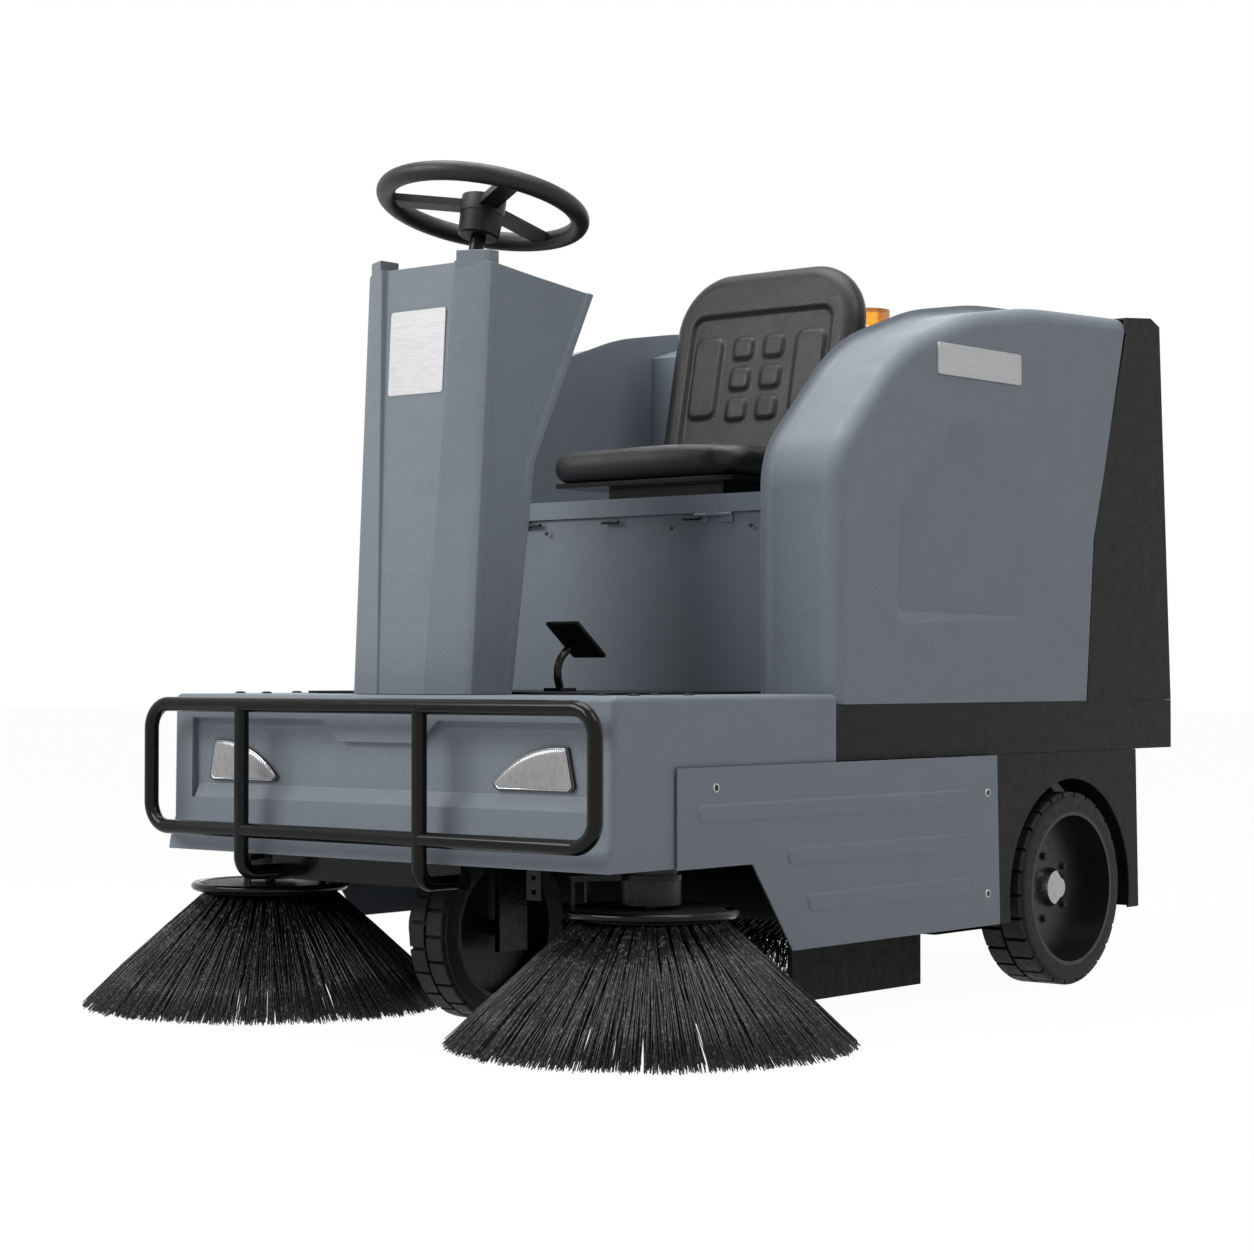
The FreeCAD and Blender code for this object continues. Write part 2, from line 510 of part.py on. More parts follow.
def column():
    """The steering column: ruled between four levels, with a tapered front panel and two ears."""
    body = new_body("Column")
    rise = "(column_top_z - deck_z)"

    def front(height):
        return "(column_front_base_y + (column_front_top_y - column_front_base_y) * (%s - deck_z) / %s)" % (height, rise)

    def half(height):
        return "(column_base_half + (column_top_half - column_base_half) * (%s - deck_z) / %s)" % (height, rise)
    levels = [("deck_z + seat_gap", "column_rear_base_y"), ("column_knee_low_z", "column_knee_low_y"),
              ("column_knee_high_z", "column_knee_high_y"),
              ("column_top_z", "column_knee_high_y + (column_rear_top_y - column_knee_high_y)"
               " * (column_top_z - column_knee_high_z) / (column_rear_top_z - column_knee_high_z)")]
    sections = [column_section("ColumnLevel%d" % k, body, height, front(height), rear, half(height))
                for k, (height, rear) in enumerate(levels)]
    loft = body.newObject("PartDesign::AdditiveLoft", "ColumnLoft")
    loft.Profile = sections[0]
    loft.Sections = sections[1:]
    loft.Ruled = True
    doc.recompute()
    top = outline(body, "ColumnTop", "YZ_Plane", [
        ("column_front_top_y + column_setback", "column_top_z"), ("column_rear_top_y", "column_rear_top_z"),
        ("column_rear_top_y + 4 * overrun", "column_rear_top_z"), ("column_rear_top_y + 4 * overrun", "column_top_z + overrun"),
        ("column_front_top_y + column_setback", "column_top_z + overrun")])
    pocket(body, top, "4 * column_top_half", midplane=True)
    tilt = "steer_tilt"
    reach = "(steer_shaft_length + collar_height)"
    socket = rod("ColumnSocket", "collar_radius + seat_gap", "steer_shaft_length",
                 ("0", "steer_y - %s * sin(%s)" % (reach, tilt), "steer_z - %s * cos(%s)" % (reach, tilt)))
    socket.Placement.Rotation = Rotation(Vector(1, 0, 0), -sizes.steer_tilt)
    keep(cut("ColumnSolid", body, [socket]), "column")


def dash_panel(lean, centre):
    """Sloped panel on the column's top with the collar that the steering shaft comes out of."""
    slope = math.degrees(math.atan2(sizes.column_top_z - sizes.column_rear_top_z,
                                    sizes.column_rear_top_y - sizes.column_front_top_y - sizes.column_setback))
    front = sizes.column_front_top_y + sizes.column_setback
    length = (sizes.column_rear_top_y - front) / math.cos(math.radians(slope))
    margin = sizes.column_bevel
    plate = Part.makeBox(2 * (sizes.column_top_half - 2 * margin), length - 2 * margin, sizes.panel_sheet,
                         Vector(-sizes.column_top_half + 2 * margin, margin, sizes.seat_gap))
    plate.rotate(Vector(), Vector(1, 0, 0), -slope)
    plate.translate(Vector(0, front, sizes.column_top_z))
    foot = centre - lean * (sizes.steer_shaft_length - sizes.collar_height * 2)
    collar = Part.makeCylinder(sizes.collar_radius, sizes.collar_height * 3, foot - lean * sizes.collar_height, lean)
    bore = Part.makeCylinder(sizes.steer_shaft_radius + sizes.running_gap, sizes.steer_shaft_length * 2,
                             centre - lean * sizes.steer_shaft_length * 1.5, lean)
    from_shape("dash_panel", plate.fuse(collar).cut(bore))


def steering():
    """The sloped panel, the steering shaft and the three-spoked wheel on it."""
    lean = Vector(0, math.sin(math.radians(sizes.steer_tilt)), math.cos(math.radians(sizes.steer_tilt)))
    centre = Vector(0, sizes.steer_y, sizes.steer_z)
    dash_panel(lean, centre)
    shaft = Part.makeCylinder(sizes.steer_shaft_radius, sizes.steer_shaft_length,
                              centre - lean * sizes.steer_shaft_length, lean)
    from_shape("steering_shaft", shaft)
    rim = Part.makeTorus(sizes.steer_radius, sizes.steer_rim, Vector(), Vector(0, 0, 1))
    hub = Part.makeCylinder(sizes.steer_hub_radius, sizes.steer_hub_height, Vector(0, 0, -sizes.steer_hub_height / 2))
    wheel = rim.fuse(hub)
    for k in range(3):
        spoke = Part.makeBox(sizes.steer_radius, sizes.spoke_width, sizes.spoke_thickness,
                             Vector(0, -sizes.spoke_width / 2, -sizes.spoke_thickness / 2))
        spoke.rotate(Vector(), Vector(0, 0, 1), 90 + 120 * k)
        wheel = wheel.fuse(spoke)
    wheel.rotate(Vector(), Vector(1, 0, 0), -sizes.steer_tilt)
    wheel.translate(centre)
    from_shape("steering_wheel", wheel.removeSplitter().cut(shaft))


def pedals():
    """A tilted foot plate on a bent arm on each side of the column."""
    for side, sign in sides():
        x = sign * sizes.pedal_x
        base = Part.makeBox(sizes.pedal_base, sizes.pedal_base, sizes.pedal_plate,
                            Vector(x - sizes.pedal_base / 2, sizes.pedal_foot_y - sizes.pedal_base / 2,
                                   sizes.deck_z + sizes.mat_height + 2 * sizes.seat_gap))
        foot = Vector(x, sizes.pedal_foot_y, base.BoundBox.ZMax - sizes.pedal_plate / 4)
        head = Vector(x, sizes.pedal_y, sizes.pedal_z)
        knee = Vector(x, sizes.pedal_foot_y - sizes.pedal_arm, (foot.z + head.z) / 2)
        arm = bent_tube([foot, knee, head], [sizes.pedal_arm * 3], sizes.pedal_arm / 2)
        plate = Part.makeBox(sizes.pedal_width, sizes.pedal_length, sizes.pedal_plate,
                             Vector(-sizes.pedal_width / 2, -sizes.pedal_length / 2, -sizes.pedal_plate / 2))
        plate.rotate(Vector(), Vector(1, 0, 0), -sizes.pedal_tilt)
        plate.translate(head)
        from_shape("pedal_" + side, plate.fuse([arm, base]))


# Body shells

def rear_body():
    """The belt round the rear, the skirts, the side shells, the cockpit's back and the hood."""
    belt = new_body("RearBelt", ("0", "0", "belt_low_z"))
    ring = outline(belt, "BeltOutside", "XY_Plane", [
        ("-body_half", "body_front_y"), ("body_half", "body_front_y"), ("body_half", "tail_y"), ("-body_half", "tail_y")])
    pad(belt, ring, "belt_top_z - belt_low_z")
    room = outline(belt, "BeltInside", "XY_Plane", [
        ("-body_half + sheet", "body_front_y - overrun"), ("body_half - sheet", "body_front_y - overrun"),
        ("body_half - sheet", "tail_y - sheet"), ("-body_half + sheet", "tail_y - sheet")])
    pocket(belt, room, "belt_top_z - belt_low_z + overrun", reverse=True)
    floor = outline(belt, "BeltFloor", "XY_Plane", [
        ("-body_half", "axle_plate_rear_y"), ("body_half", "axle_plate_rear_y"), ("body_half", "tail_y"),
        ("-body_half", "tail_y")])
    pad(belt, floor, "sheet")

    for side, sign in sides():
        edge = "body_half - sheet" if sign > 0 else "-body_half"
        skirt = new_body("Skirt_" + side, (edge, "0", "0"))
        plate = outline(skirt, "SkirtOutline_" + side, "YZ_Plane", [
            ("skirt_front_y", "belt_low_z - seat_gap"), ("skirt_front_y", "skirt_low_z"),
            ("skirt_rear_low_y", "skirt_low_z"), ("skirt_rear_top_y", "belt_low_z - seat_gap")])
        pad(skirt, plate, "sheet")
        arch = circle(skirt, "Arch_" + side, "YZ_Plane", ("rear_axle_y", "arch_z"), "arch_radius")
        pocket(skirt, arch, "sheet + overrun", reverse=True)
        keep(skirt, "skirt_" + side)

        edge = "cockpit_half" if sign > 0 else "-body_half"
        shell = new_body("SideShell_" + side, (edge, "0", "0"))
        profile = outline(shell, "ShellOutline_" + side, "YZ_Plane", [
            ("body_front_y", "belt_top_z + seat_gap"), ("body_front_y", "shell_knee_z"),
            ("shell_rise_y", "shell_rise_z"), ("shell_bow_y", "shell_bow_z"), ("shell_top_y", "shell_top_z"),
            ("seam_top_y - seam", "seam_top_z"), ("seam_bend_y - seam", "seam_bend_z"),
            ("seam_low_y - seam", "belt_top_z + seat_gap")])
        pad(shell, profile, "body_half - cockpit_half")
        keep(shell, "side_shell_" + side)

    back = new_body("CockpitBack")
    wall = outline(back, "BackOutline", "YZ_Plane", [
        ("cockpit_back_y", "lid_low_z"), ("cockpit_back_y", "shell_bow_z - roof_drop"),
        ("shell_top_y", "shell_top_z - roof_drop"), ("seam_top_y - seam", "seam_top_z - roof_drop"),
        ("seam_top_y - seam", "seam_top_z - roof_drop - moulding"), ("shell_top_y", "shell_top_z - roof_drop - moulding"),
        ("cockpit_back_y + moulding", "shell_bow_z - roof_drop - moulding"), ("cockpit_back_y + moulding", "lid_low_z")])
    pad(back, wall, "2 * (cockpit_half - seat_gap)", midplane=True)
    keep(back, "cockpit_back")

    hood = new_body("RearHood")
    cover = outline(hood, "HoodOutside", "YZ_Plane", [
        ("seam_low_y", "belt_top_z + seat_gap"), ("seam_bend_y", "seam_bend_z"), ("seam_top_y", "seam_top_z"),
        ("hood_top_y", "hood_top_z"), ("hood_corner_y", "hood_corner_z"), ("tail_y", "belt_top_z + seat_gap")])
    pad(hood, cover, "2 * body_half", midplane=True)
    space = outline(hood, "HoodInside", "YZ_Plane", [
        ("seam_low_y - overrun", "belt_top_z - overrun"), ("seam_bend_y - overrun", "seam_bend_z"),
        ("seam_top_y - overrun", "seam_top_z - moulding"), ("hood_top_y", "hood_top_z - moulding"),
        ("hood_corner_y - moulding", "hood_corner_z - moulding"), ("tail_y - moulding", "belt_top_z - overrun")])
    pocket(hood, space, "2 * (body_half - moulding)", midplane=True)

    def leaf(name, x):
        return block(name, (x + " - hinge_length / 2", "tail_y - moulding / 2", "belt_top_z + seat_gap"),
                     (x + " + hinge_length / 2", "tail_y + seat_gap + hinge_leaf", "belt_top_z + 4 * hinge_knuckle"))

    def post(name, x):
        return block(name, (x + " - hinge_length / 2", "tail_y - sheet / 2", "belt_top_z - 4 * hinge_knuckle"),
                     (x + " + hinge_length / 2", "tail_y + seat_gap + hinge_leaf", "belt_top_z - seat_gap"))
    moving, fixed = hinge("HoodHinge", "hood_hinge_x", "tail_y + seat_gap + hinge_knuckle", "belt_top_z", leaf, post)
    keep(fuse("HoodSolid", [hood] + moving), "rear_hood")
    keep(fuse("BeltSolid", [belt] + fixed), "rear_belt")


def side_panels():
    """The pressed steel panel low on each side, with three stadium ribs and its studs."""
    for side, sign in sides():
        edge = "panel_x - panel_sheet" if sign > 0 else "-panel_x"
        body = new_body("SidePanel_" + side, (edge, "0", "0"))
        sheet = outline(body, "PanelOutline_" + side, "YZ_Plane", [
            ("panel_front_y", "panel_top_z"), ("panel_rear_top_y", "panel_top_z"), ("panel_rear_low_y", "panel_low_z"),
            ("panel_heel_y", "panel_low_z"), ("panel_step_y", "panel_step_z"), ("panel_front_y", "panel_step_z")])
        pad(body, sheet, "panel_sheet")
        studs = (("High", "stud_rear_y", "stud_high_z", "body_half"), ("Low", "stud_rear_y", "stud_low_z", "body_half"),
                 ("Front", "stud_front_y", "stud_front_z", "deck_half"))
        for name, y, z, wall in studs:
            stud = circle(body, "Stud%s_%s" % (name, side), "YZ_Plane", (y, z), "stud_radius")
            reach = "panel_x - %s - seat_gap" % wall
            pad(body, stud, reach if sign < 0 else reach + " - panel_sheet", reverse=sign > 0)
        keep(body, "side_panel_" + side)


# Seat

def rounded_block(low, high, radius):
    """A box with all its edges rounded."""
    solid = Part.makeBox(high.x - low.x, high.y - low.y, high.z - low.z, low)
    return solid.makeFillet(radius, solid.Edges)


def seat():
    body = new_body("SeatBox", ("0", "0", "deck_z - moulding"))
    plan = outline(body, "BoxPlan", "XY_Plane", [
        ("-cockpit_half + seat_gap", "box_front_y"), ("cockpit_half - seat_gap", "box_front_y"),
        ("cockpit_half - seat_gap", "box_front_y + overrun"), ("cockpit_half - seat_gap - sheet", "box_front_y + overrun"),
        ("cockpit_half - seat_gap - sheet", "box_front_y + sheet"), ("-cockpit_half + seat_gap + sheet", "box_front_y + sheet"),
        ("-cockpit_half + seat_gap + sheet", "box_front_y + overrun"), ("-cockpit_half + seat_gap", "box_front_y + overrun")])
    pad(body, plan, "lid_low_z - seat_gap - deck_z + moulding")

    lid = new_body("SeatLid", ("0", "0", "lid_low_z"))
    tray = outline(lid, "LidOutline", "XY_Plane", [
        ("-lid_half", "lid_front_y"), ("lid_half", "lid_front_y"), ("lid_half", "cockpit_back_y - moving_gap"),
        ("-lid_half", "cockpit_back_y - moving_gap")])
    pad(lid, tray, "lid_top_z - lid_low_z")
    hollow = outline(lid, "LidInside", "XY_Plane", [
        ("-lid_half + sheet", "lid_front_y + sheet"), ("lid_half - sheet", "lid_front_y + sheet"),
        ("lid_half - sheet", "cockpit_back_y - moving_gap - sheet"), ("-lid_half + sheet", "cockpit_back_y - moving_gap - sheet")])
    pocket(lid, hollow, "lid_top_z - lid_low_z - sheet", reverse=True)

    def leaf(name, x):
        return block(name, (x + " - hinge_length / 2", "lid_front_y - hinge_leaf", "lid_low_z - hinge_knuckle"),
                     (x + " + hinge_length / 2", "lid_front_y", "lid_low_z + 3 * hinge_knuckle"))

    def post(name, x):
        return block(name, (x + " - hinge_length / 2", "box_front_y - 2 * hinge_leaf", "lid_low_z - 5 * hinge_knuckle"),
                     (x + " + hinge_length / 2", "box_front_y", "lid_low_z - seat_gap - hinge_knuckle"))
    moving, fixed = hinge("LidHinge", "lid_hinge_x", "lid_front_y + hinge_leaf / 2", "lid_low_z - hinge_knuckle - seat_gap",
                          leaf, post)
    keep(fuse("SeatBoxSolid", [body] + fixed), "seat_box")
    keep(fuse("SeatLidSolid", [lid] + moving), "seat_lid")

    pan = block("PanPlate", ("-pan_half", "pan_front_y", "cushion_low_z - seat_gap - pan_height"),
                ("pan_half", "pan_rear_y", "cushion_low_z - seat_gap"))
    riser = block("PanRiser", ("-riser_half", "riser_front_y", "lid_top_z + seat_gap"),
                  ("riser_half", "riser_rear_y", "cushion_low_z - seat_gap - pan_height"))
    stay = block("BackStay", ("-riser_half / 2", "pan_rear_y - pan_height", "cushion_low_z - seat_gap - pan_height"),
                 ("riser_half / 2", "back_foot_y + back_thickness + seat_gap + back_stay", "cushion_low_z - seat_gap"))
    behind = "(back_thickness + seat_gap)"
    upright = primitive("Box", "BackUpright", {"Length": "riser_half", "Width": "back_stay", "Height": "stay_drop + stay_rise"},
                        ("-riser_half / 2", "back_foot_y + %s * cos(back_recline) - stay_drop * sin(back_recline)" % behind,
                         "back_foot_z - %s * sin(back_recline) - stay_drop * cos(back_recline)" % behind),
                        -sizes.back_recline, Vector(1, 0, 0))
    keep(fuse("SeatPan", [pan, riser, stay, upright]), "seat_pan")

    low = Vector(-sizes.cushion_half, sizes.cushion_front_y, sizes.cushion_low_z)
    high = Vector(sizes.cushion_half, sizes.cushion_rear_y, sizes.cushion_low_z + sizes.cushion_height)
    from_shape("seat_cushion", rounded_block(low, high, sizes.cushion_round))

    half = sizes.back_half
    length = sizes.back_length
    corner = sizes.back_corner
    lean = corner * (1 - math.cos(math.pi / 4))
    edges = [Part.LineSegment(Vector(-half, 0, 0), Vector(half, 0, 0)),
             Part.LineSegment(Vector(half, 0, 0), Vector(half, 0, length - corner)),
             Part.Arc(Vector(half, 0, length - corner), Vector(half - lean, 0, length - lean),
                      Vector(half - corner, 0, length)),
             Part.LineSegment(Vector(half - corner, 0, length), Vector(corner - half, 0, length)),
             Part.Arc(Vector(corner - half, 0, length), Vector(lean - half, 0, length - lean),
                      Vector(-half, 0, length - corner)),
             Part.LineSegment(Vector(-half, 0, length - corner), Vector(-half, 0, 0))]
    face = Part.Face(Part.Wire([edge.toShape() for edge in edges]))
    back = face.extrude(Vector(0, sizes.back_thickness, 0))
    back = back.makeFillet(sizes.back_round, back.Edges)
    back.rotate(Vector(), Vector(1, 0, 0), -sizes.back_recline)
    back.translate(Vector(0, sizes.back_foot_y, sizes.back_foot_z))
    from_shape("seat_back", back)


def beacon():
    """Low round warning beacon on the roof behind the seat."""
    run = "(seam_top_y - shell_top_y)"
    roof = "(shell_top_z - roof_drop + (seam_top_z - shell_top_z) * (beacon_y + beacon_radius - shell_top_y) / %s + seat_gap)" % run
    keep(rod("BeaconBase", "beacon_radius", "beacon_base_height", ("0", "beacon_y", roof)), "beacon_base")
    keep(rod("BeaconLens", "beacon_radius - 2 * seat_gap", "beacon_lens_height",
             ("0", "beacon_y", roof + " + beacon_base_height")), "beacon_lens")


# Wheels

def wheel(label, centre, sign, radius, width, bead, dish, bore):
    """A solid tyre on a dished rim, turned about X; its outer face looks along the given sign."""
    x, y = centre
    half = "(%s) / 2" % width
    turn = None if sign > 0 else 180
    tyre = new_body(label + "Tyre", (x, y, radius), turn)
    ring = outline(tyre, label + "TyreSection", "XY_Plane", [
        ("-" + half, bead), (half, bead), (half, radius + " - tyre_shoulder"), (half + " - tyre_shoulder", radius),
        ("-" + half + " + tyre_shoulder", radius), ("-" + half, radius + " - tyre_shoulder")])
    revolve(tyre, ring, "H_Axis")
    rim = new_body(label + "Rim", (x, y, radius), turn)
    barrel = "(%s - seat_gap)" % bead
    disc = "(%s - (%s))" % (half, dish)
    section = outline(rim, label + "RimSection", "XY_Plane", [
        (half, barrel), ("-" + half, barrel), ("-" + half, barrel + " - rim_wall"),
        (disc + " - rim_disc", barrel + " - rim_wall"), (disc + " - rim_disc", "hub_radius"),
        ("-" + half, "hub_radius"), ("-" + half, bore), (disc, bore), (disc, barrel + " - rim_wall"),
        (half, barrel + " - rim_wall")])
    revolve(rim, section, "H_Axis")
    return tyre, rim


def rear_wheels():
    for side, sign in sides():
        at = "rear_face_x - rear_tyre_width / 2"
        at = at if sign > 0 else "-(%s)" % at
        tyre, rim = wheel("Rear%s" % side.title(), (at, "rear_axle_y"), sign, "rear_wheel_radius", "rear_tyre_width",
                          "rear_bead_radius", "rim_dish", "stub_radius + running_gap")
        keep(tyre, "rear_tyre_" + side)
        keep(rim, "rear_rim_" + side)
        cap = new_body("Hubcap_" + side, ("0", "rear_axle_y", "rear_wheel_radius"), None if sign > 0 else 180)
        hold(cap, "Placement.Base.x", "%d * (rear_face_x - rim_dish + seat_gap)" % sign)
        dome = outline(cap, "Dome_" + side, "XY_Plane", [
            ("0", "0"), ("hubcap_height", "0"), ("hubcap_height", "hubcap_radius * 0.5"),
            ("hubcap_height * 0.7", "hubcap_radius * 0.85"), ("hubcap_height * 0.2", "hubcap_radius"), ("0", "hubcap_radius")])
        revolve(cap, dome, "H_Axis")
        keep(cap, "hubcap_" + side)


def front_wheel():
    tyre, rim = wheel("Front", ("0", "front_axle_y"), 1, "front_wheel_radius", "front_tyre_width", "front_bead_radius",
                      "front_tyre_width / 2 - rim_disc", "axle_radius + running_gap")
    keep(tyre, "front_tyre")
    keep(rim, "front_rim")


def fork():
    """The steered fork: two legs, a crown, the kingpin above it, the axle and the drive motor."""
    gap = "(front_tyre_width / 2 + moving_gap)"
    crown_low = "(rail_bottom_z - crown_height - seat_gap)"
    pieces = [block("Crown", ("-%s - fork_plate" % gap, "front_axle_y - fork_leg_width", crown_low),
                    (gap + " + fork_plate", "front_axle_y + fork_leg_width", crown_low + " + crown_height"))]
    for side, sign in sides():
        low = gap if sign > 0 else "-%s - fork_plate" % gap
        high = gap + " + fork_plate" if sign > 0 else "-" + gap
        pieces.append(block("Leg_" + side, (low, "front_axle_y - fork_leg_width / 2", "front_wheel_radius - fork_leg_width / 2"),
                            (high, "front_axle_y + fork_leg_width / 2", crown_low)))
    pieces.append(rod("Kingpin", "kingpin_radius", "rail_height + crown_height + overrun",
                      ("0", "front_axle_y", crown_low)))
    pieces.append(rod("FrontAxle", "axle_radius", "2 * (%s + fork_plate)" % gap,
                      ("-%s - fork_plate" % gap, "front_axle_y", "front_wheel_radius"), "x"))
    keep(fuse("Fork", pieces), "fork")
    keep(rod("DriveMotor", "drive_radius", "drive_length",
             ("-%s - fork_plate - seat_gap - drive_length" % gap, "front_axle_y", "front_wheel_radius"), "x"), "drive_motor")


# Brushes

def brush_arm(side, sign):
    """The arm that lowers a side brush: boss, bar, motor plate, and the guard ring on three posts."""
    centre = Vector(sign * sizes.brush_x, sizes.brush_y, 0)
    pivot = Vector(sign * sizes.arm_pivot_x, sizes.arm_pivot_y, sizes.arm_pivot_z)
    plate_top = sizes.motor_plate_z + sizes.motor_plate
    boss = Part.makeCylinder(sizes.arm_boss_radius, sizes.arm_boss_length,
                             pivot - Vector(sizes.arm_boss_length / 2, 0, 0), Vector(1, 0, 0))
    reach = (centre - pivot)
    reach.z = 0
    bar = Part.makeBox(reach.Length - sizes.motor_radius - sizes.seat_gap, sizes.arm_width, sizes.arm_height,
                       Vector(0, -sizes.arm_width / 2, 0))
    bar.rotate(Vector(), Vector(0, 0, 1), math.degrees(math.atan2(reach.y, reach.x)))
    bar.translate(Vector(pivot.x, pivot.y, plate_top))
    plate = Part.makeCylinder(sizes.motor_plate_radius, sizes.motor_plate, centre + Vector(0, 0, sizes.motor_plate_z))
    ring = Part.makeTorus(sizes.ring_radius, sizes.ring_tube, centre + Vector(0, 0, sizes.ring_z), Vector(0, 0, 1))
    arm = boss.fuse(bar).fuse(plate).fuse(ring)
    for k in range(3):
        spoke = Part.makeBox(sizes.ring_radius, sizes.ring_post, sizes.motor_plate,
                             Vector(0, -sizes.ring_post / 2, sizes.motor_plate_z))
        post = Part.makeBox(sizes.ring_post / 2, sizes.ring_post, sizes.motor_plate_z + sizes.motor_plate - sizes.ring_z,
                            Vector(sizes.ring_radius - sizes.ring_post / 4, -sizes.ring_post / 2, sizes.ring_z))
        for piece in (spoke, post):
            piece.rotate(Vector(), Vector(0, 0, 1), (120 + 60 * k) if sign > 0 else (60 - 60 * k))
            piece.translate(centre)
            arm = arm.fuse(piece)
    pin = Part.makeCylinder(sizes.arm_pin_radius + sizes.running_gap, 3 * sizes.arm_boss_length,
                            pivot - Vector(1.5 * sizes.arm_boss_length, 0, 0), Vector(1, 0, 0))
    hole = Part.makeCylinder(sizes.gearbox_radius / 2, 2 * sizes.motor_plate,
                             centre + Vector(0, 0, sizes.motor_plate_z - sizes.motor_plate / 2))
    from_shape("brush_arm_" + side, arm.removeSplitter().cut(pin).cut(hole))


def side_brushes():
    for side, sign in sides():
        brush_arm(side, sign)
        at = ("%d * brush_x" % sign, "brush_y")
        plate_top = "(motor_plate_z + motor_plate)"
        pieces = [rod("Gearbox_" + side, "gearbox_radius", "motor_plate_z - seat_gap - gearbox_low_z", at + ("gearbox_low_z",)),
                  rod("Motor_" + side, "motor_radius", "motor_height", at + (plate_top + " + seat_gap",)),
                  rod("MotorNeck_" + side, "gearbox_radius / 2 - seat_gap", "%s + 2 * seat_gap + motor_plate" % "0",
                      at + ("motor_plate_z - seat_gap",)),
                  rod("BrushShaft_" + side, "brush_shaft_radius", "gearbox_low_z - brush_root_z", at + ("brush_root_z",))]
        keep(fuse("BrushMotor_" + side, pieces), "brush_motor_" + side)
        disc = new_body("BrushDisc_" + side, at + ("0",))
        section = outline(disc, "DiscSection_" + side, "XZ_Plane", [
            ("brush_shaft_radius + running_gap", "brush_root_z"), ("brush_root_radius", "brush_root_z"),
            ("brush_root_radius", "brush_disc_top_z"), ("brush_shaft_radius + running_gap", "brush_disc_top_z")])
        revolve(disc, section, "V_Axis")
        keep(disc, "brush_disc_" + side)
        bristles = new_body("Bristles_" + side, at + ("0",))
        cone = outline(bristles, "BristleSection_" + side, "XZ_Plane", [
            ("brush_root_radius - bristle_depth", "brush_root_z - seat_gap"), ("brush_root_radius", "brush_root_z - seat_gap"),
            ("brush_tip_radius", "brush_tip_z"), ("brush_tip_radius - bristle_depth", "brush_tip_z")])
        revolve(bristles, cone, "V_Axis")
        keep(bristles, "brush_bristles_" + side)


def main_brush():
    body = new_body("MainBrush", ("0", "main_brush_y", "main_brush_z"))
    end = "(housing_side_x + housing_sheet)"
    section = outline(body, "MainBrushSection", "XY_Plane", [
        ("-" + end, "0"), (end, "0"), (end, "main_brush_shaft"), ("main_brush_half", "main_brush_shaft"),
        ("main_brush_half", "main_brush_radius"), ("-main_brush_half", "main_brush_radius"),
        ("-main_brush_half", "main_brush_shaft"), ("-" + end, "main_brush_shaft")])
    revolve(body, section, "H_Axis")
    keep(body, "main_brush")


def housing():
    """Sheet housing over the main brush with its side plates, and a rubber flap under each plate."""
    y = sizes.main_brush_y
    z = sizes.main_brush_z
    inner = sizes.main_brush_radius + sizes.housing_gap
    outer = inner + sizes.housing_sheet
    width = 2 * (sizes.housing_side_x + sizes.housing_sheet)
    start = Vector(-width / 2, y, z)
    hood = Part.makeCylinder(outer, width, start, Vector(1, 0, 0)).cut(
        Part.makeCylinder(inner, width, start, Vector(1, 0, 0)))
    hood = hood.cut(Part.makeBox(width, 3 * outer, 2 * outer, Vector(-width / 2, y - 1.5 * outer, z - 2 * outer)))
    hood = hood.cut(Part.makeBox(width, outer, outer / 2, Vector(-width / 2, y + outer / 2, z)))
    for sign in (1, -1):
        x = sizes.housing_side_x if sign > 0 else -sizes.housing_side_x - sizes.housing_sheet
        plate = Part.makeBox(sizes.housing_sheet, sizes.housing_side_rear_y - sizes.housing_side_front_y,
                             z + outer - sizes.housing_side_low_z,
                             Vector(x, sizes.housing_side_front_y, sizes.housing_side_low_z))
        hood = hood.fuse(plate)
    bore = Part.makeCylinder(sizes.main_brush_shaft + sizes.running_gap, 2 * width, start - Vector(width / 2, 0, 0),
                             Vector(1, 0, 0))
    from_shape("brush_housing", hood.removeSplitter().cut(bore))
    for side, sign in sides():
        x = sizes.housing_side_x + sizes.housing_sheet + sizes.seat_gap
        x = x if sign > 0 else -x - sizes.flap_thickness
        flap = Part.makeBox(sizes.flap_thickness, sizes.housing_side_rear_y - sizes.housing_side_front_y,
                            2 * sizes.flap_drop,
                            Vector(x, sizes.housing_side_front_y, sizes.housing_side_low_z - sizes.flap_drop))
        from_shape("flap_" + side, flap)


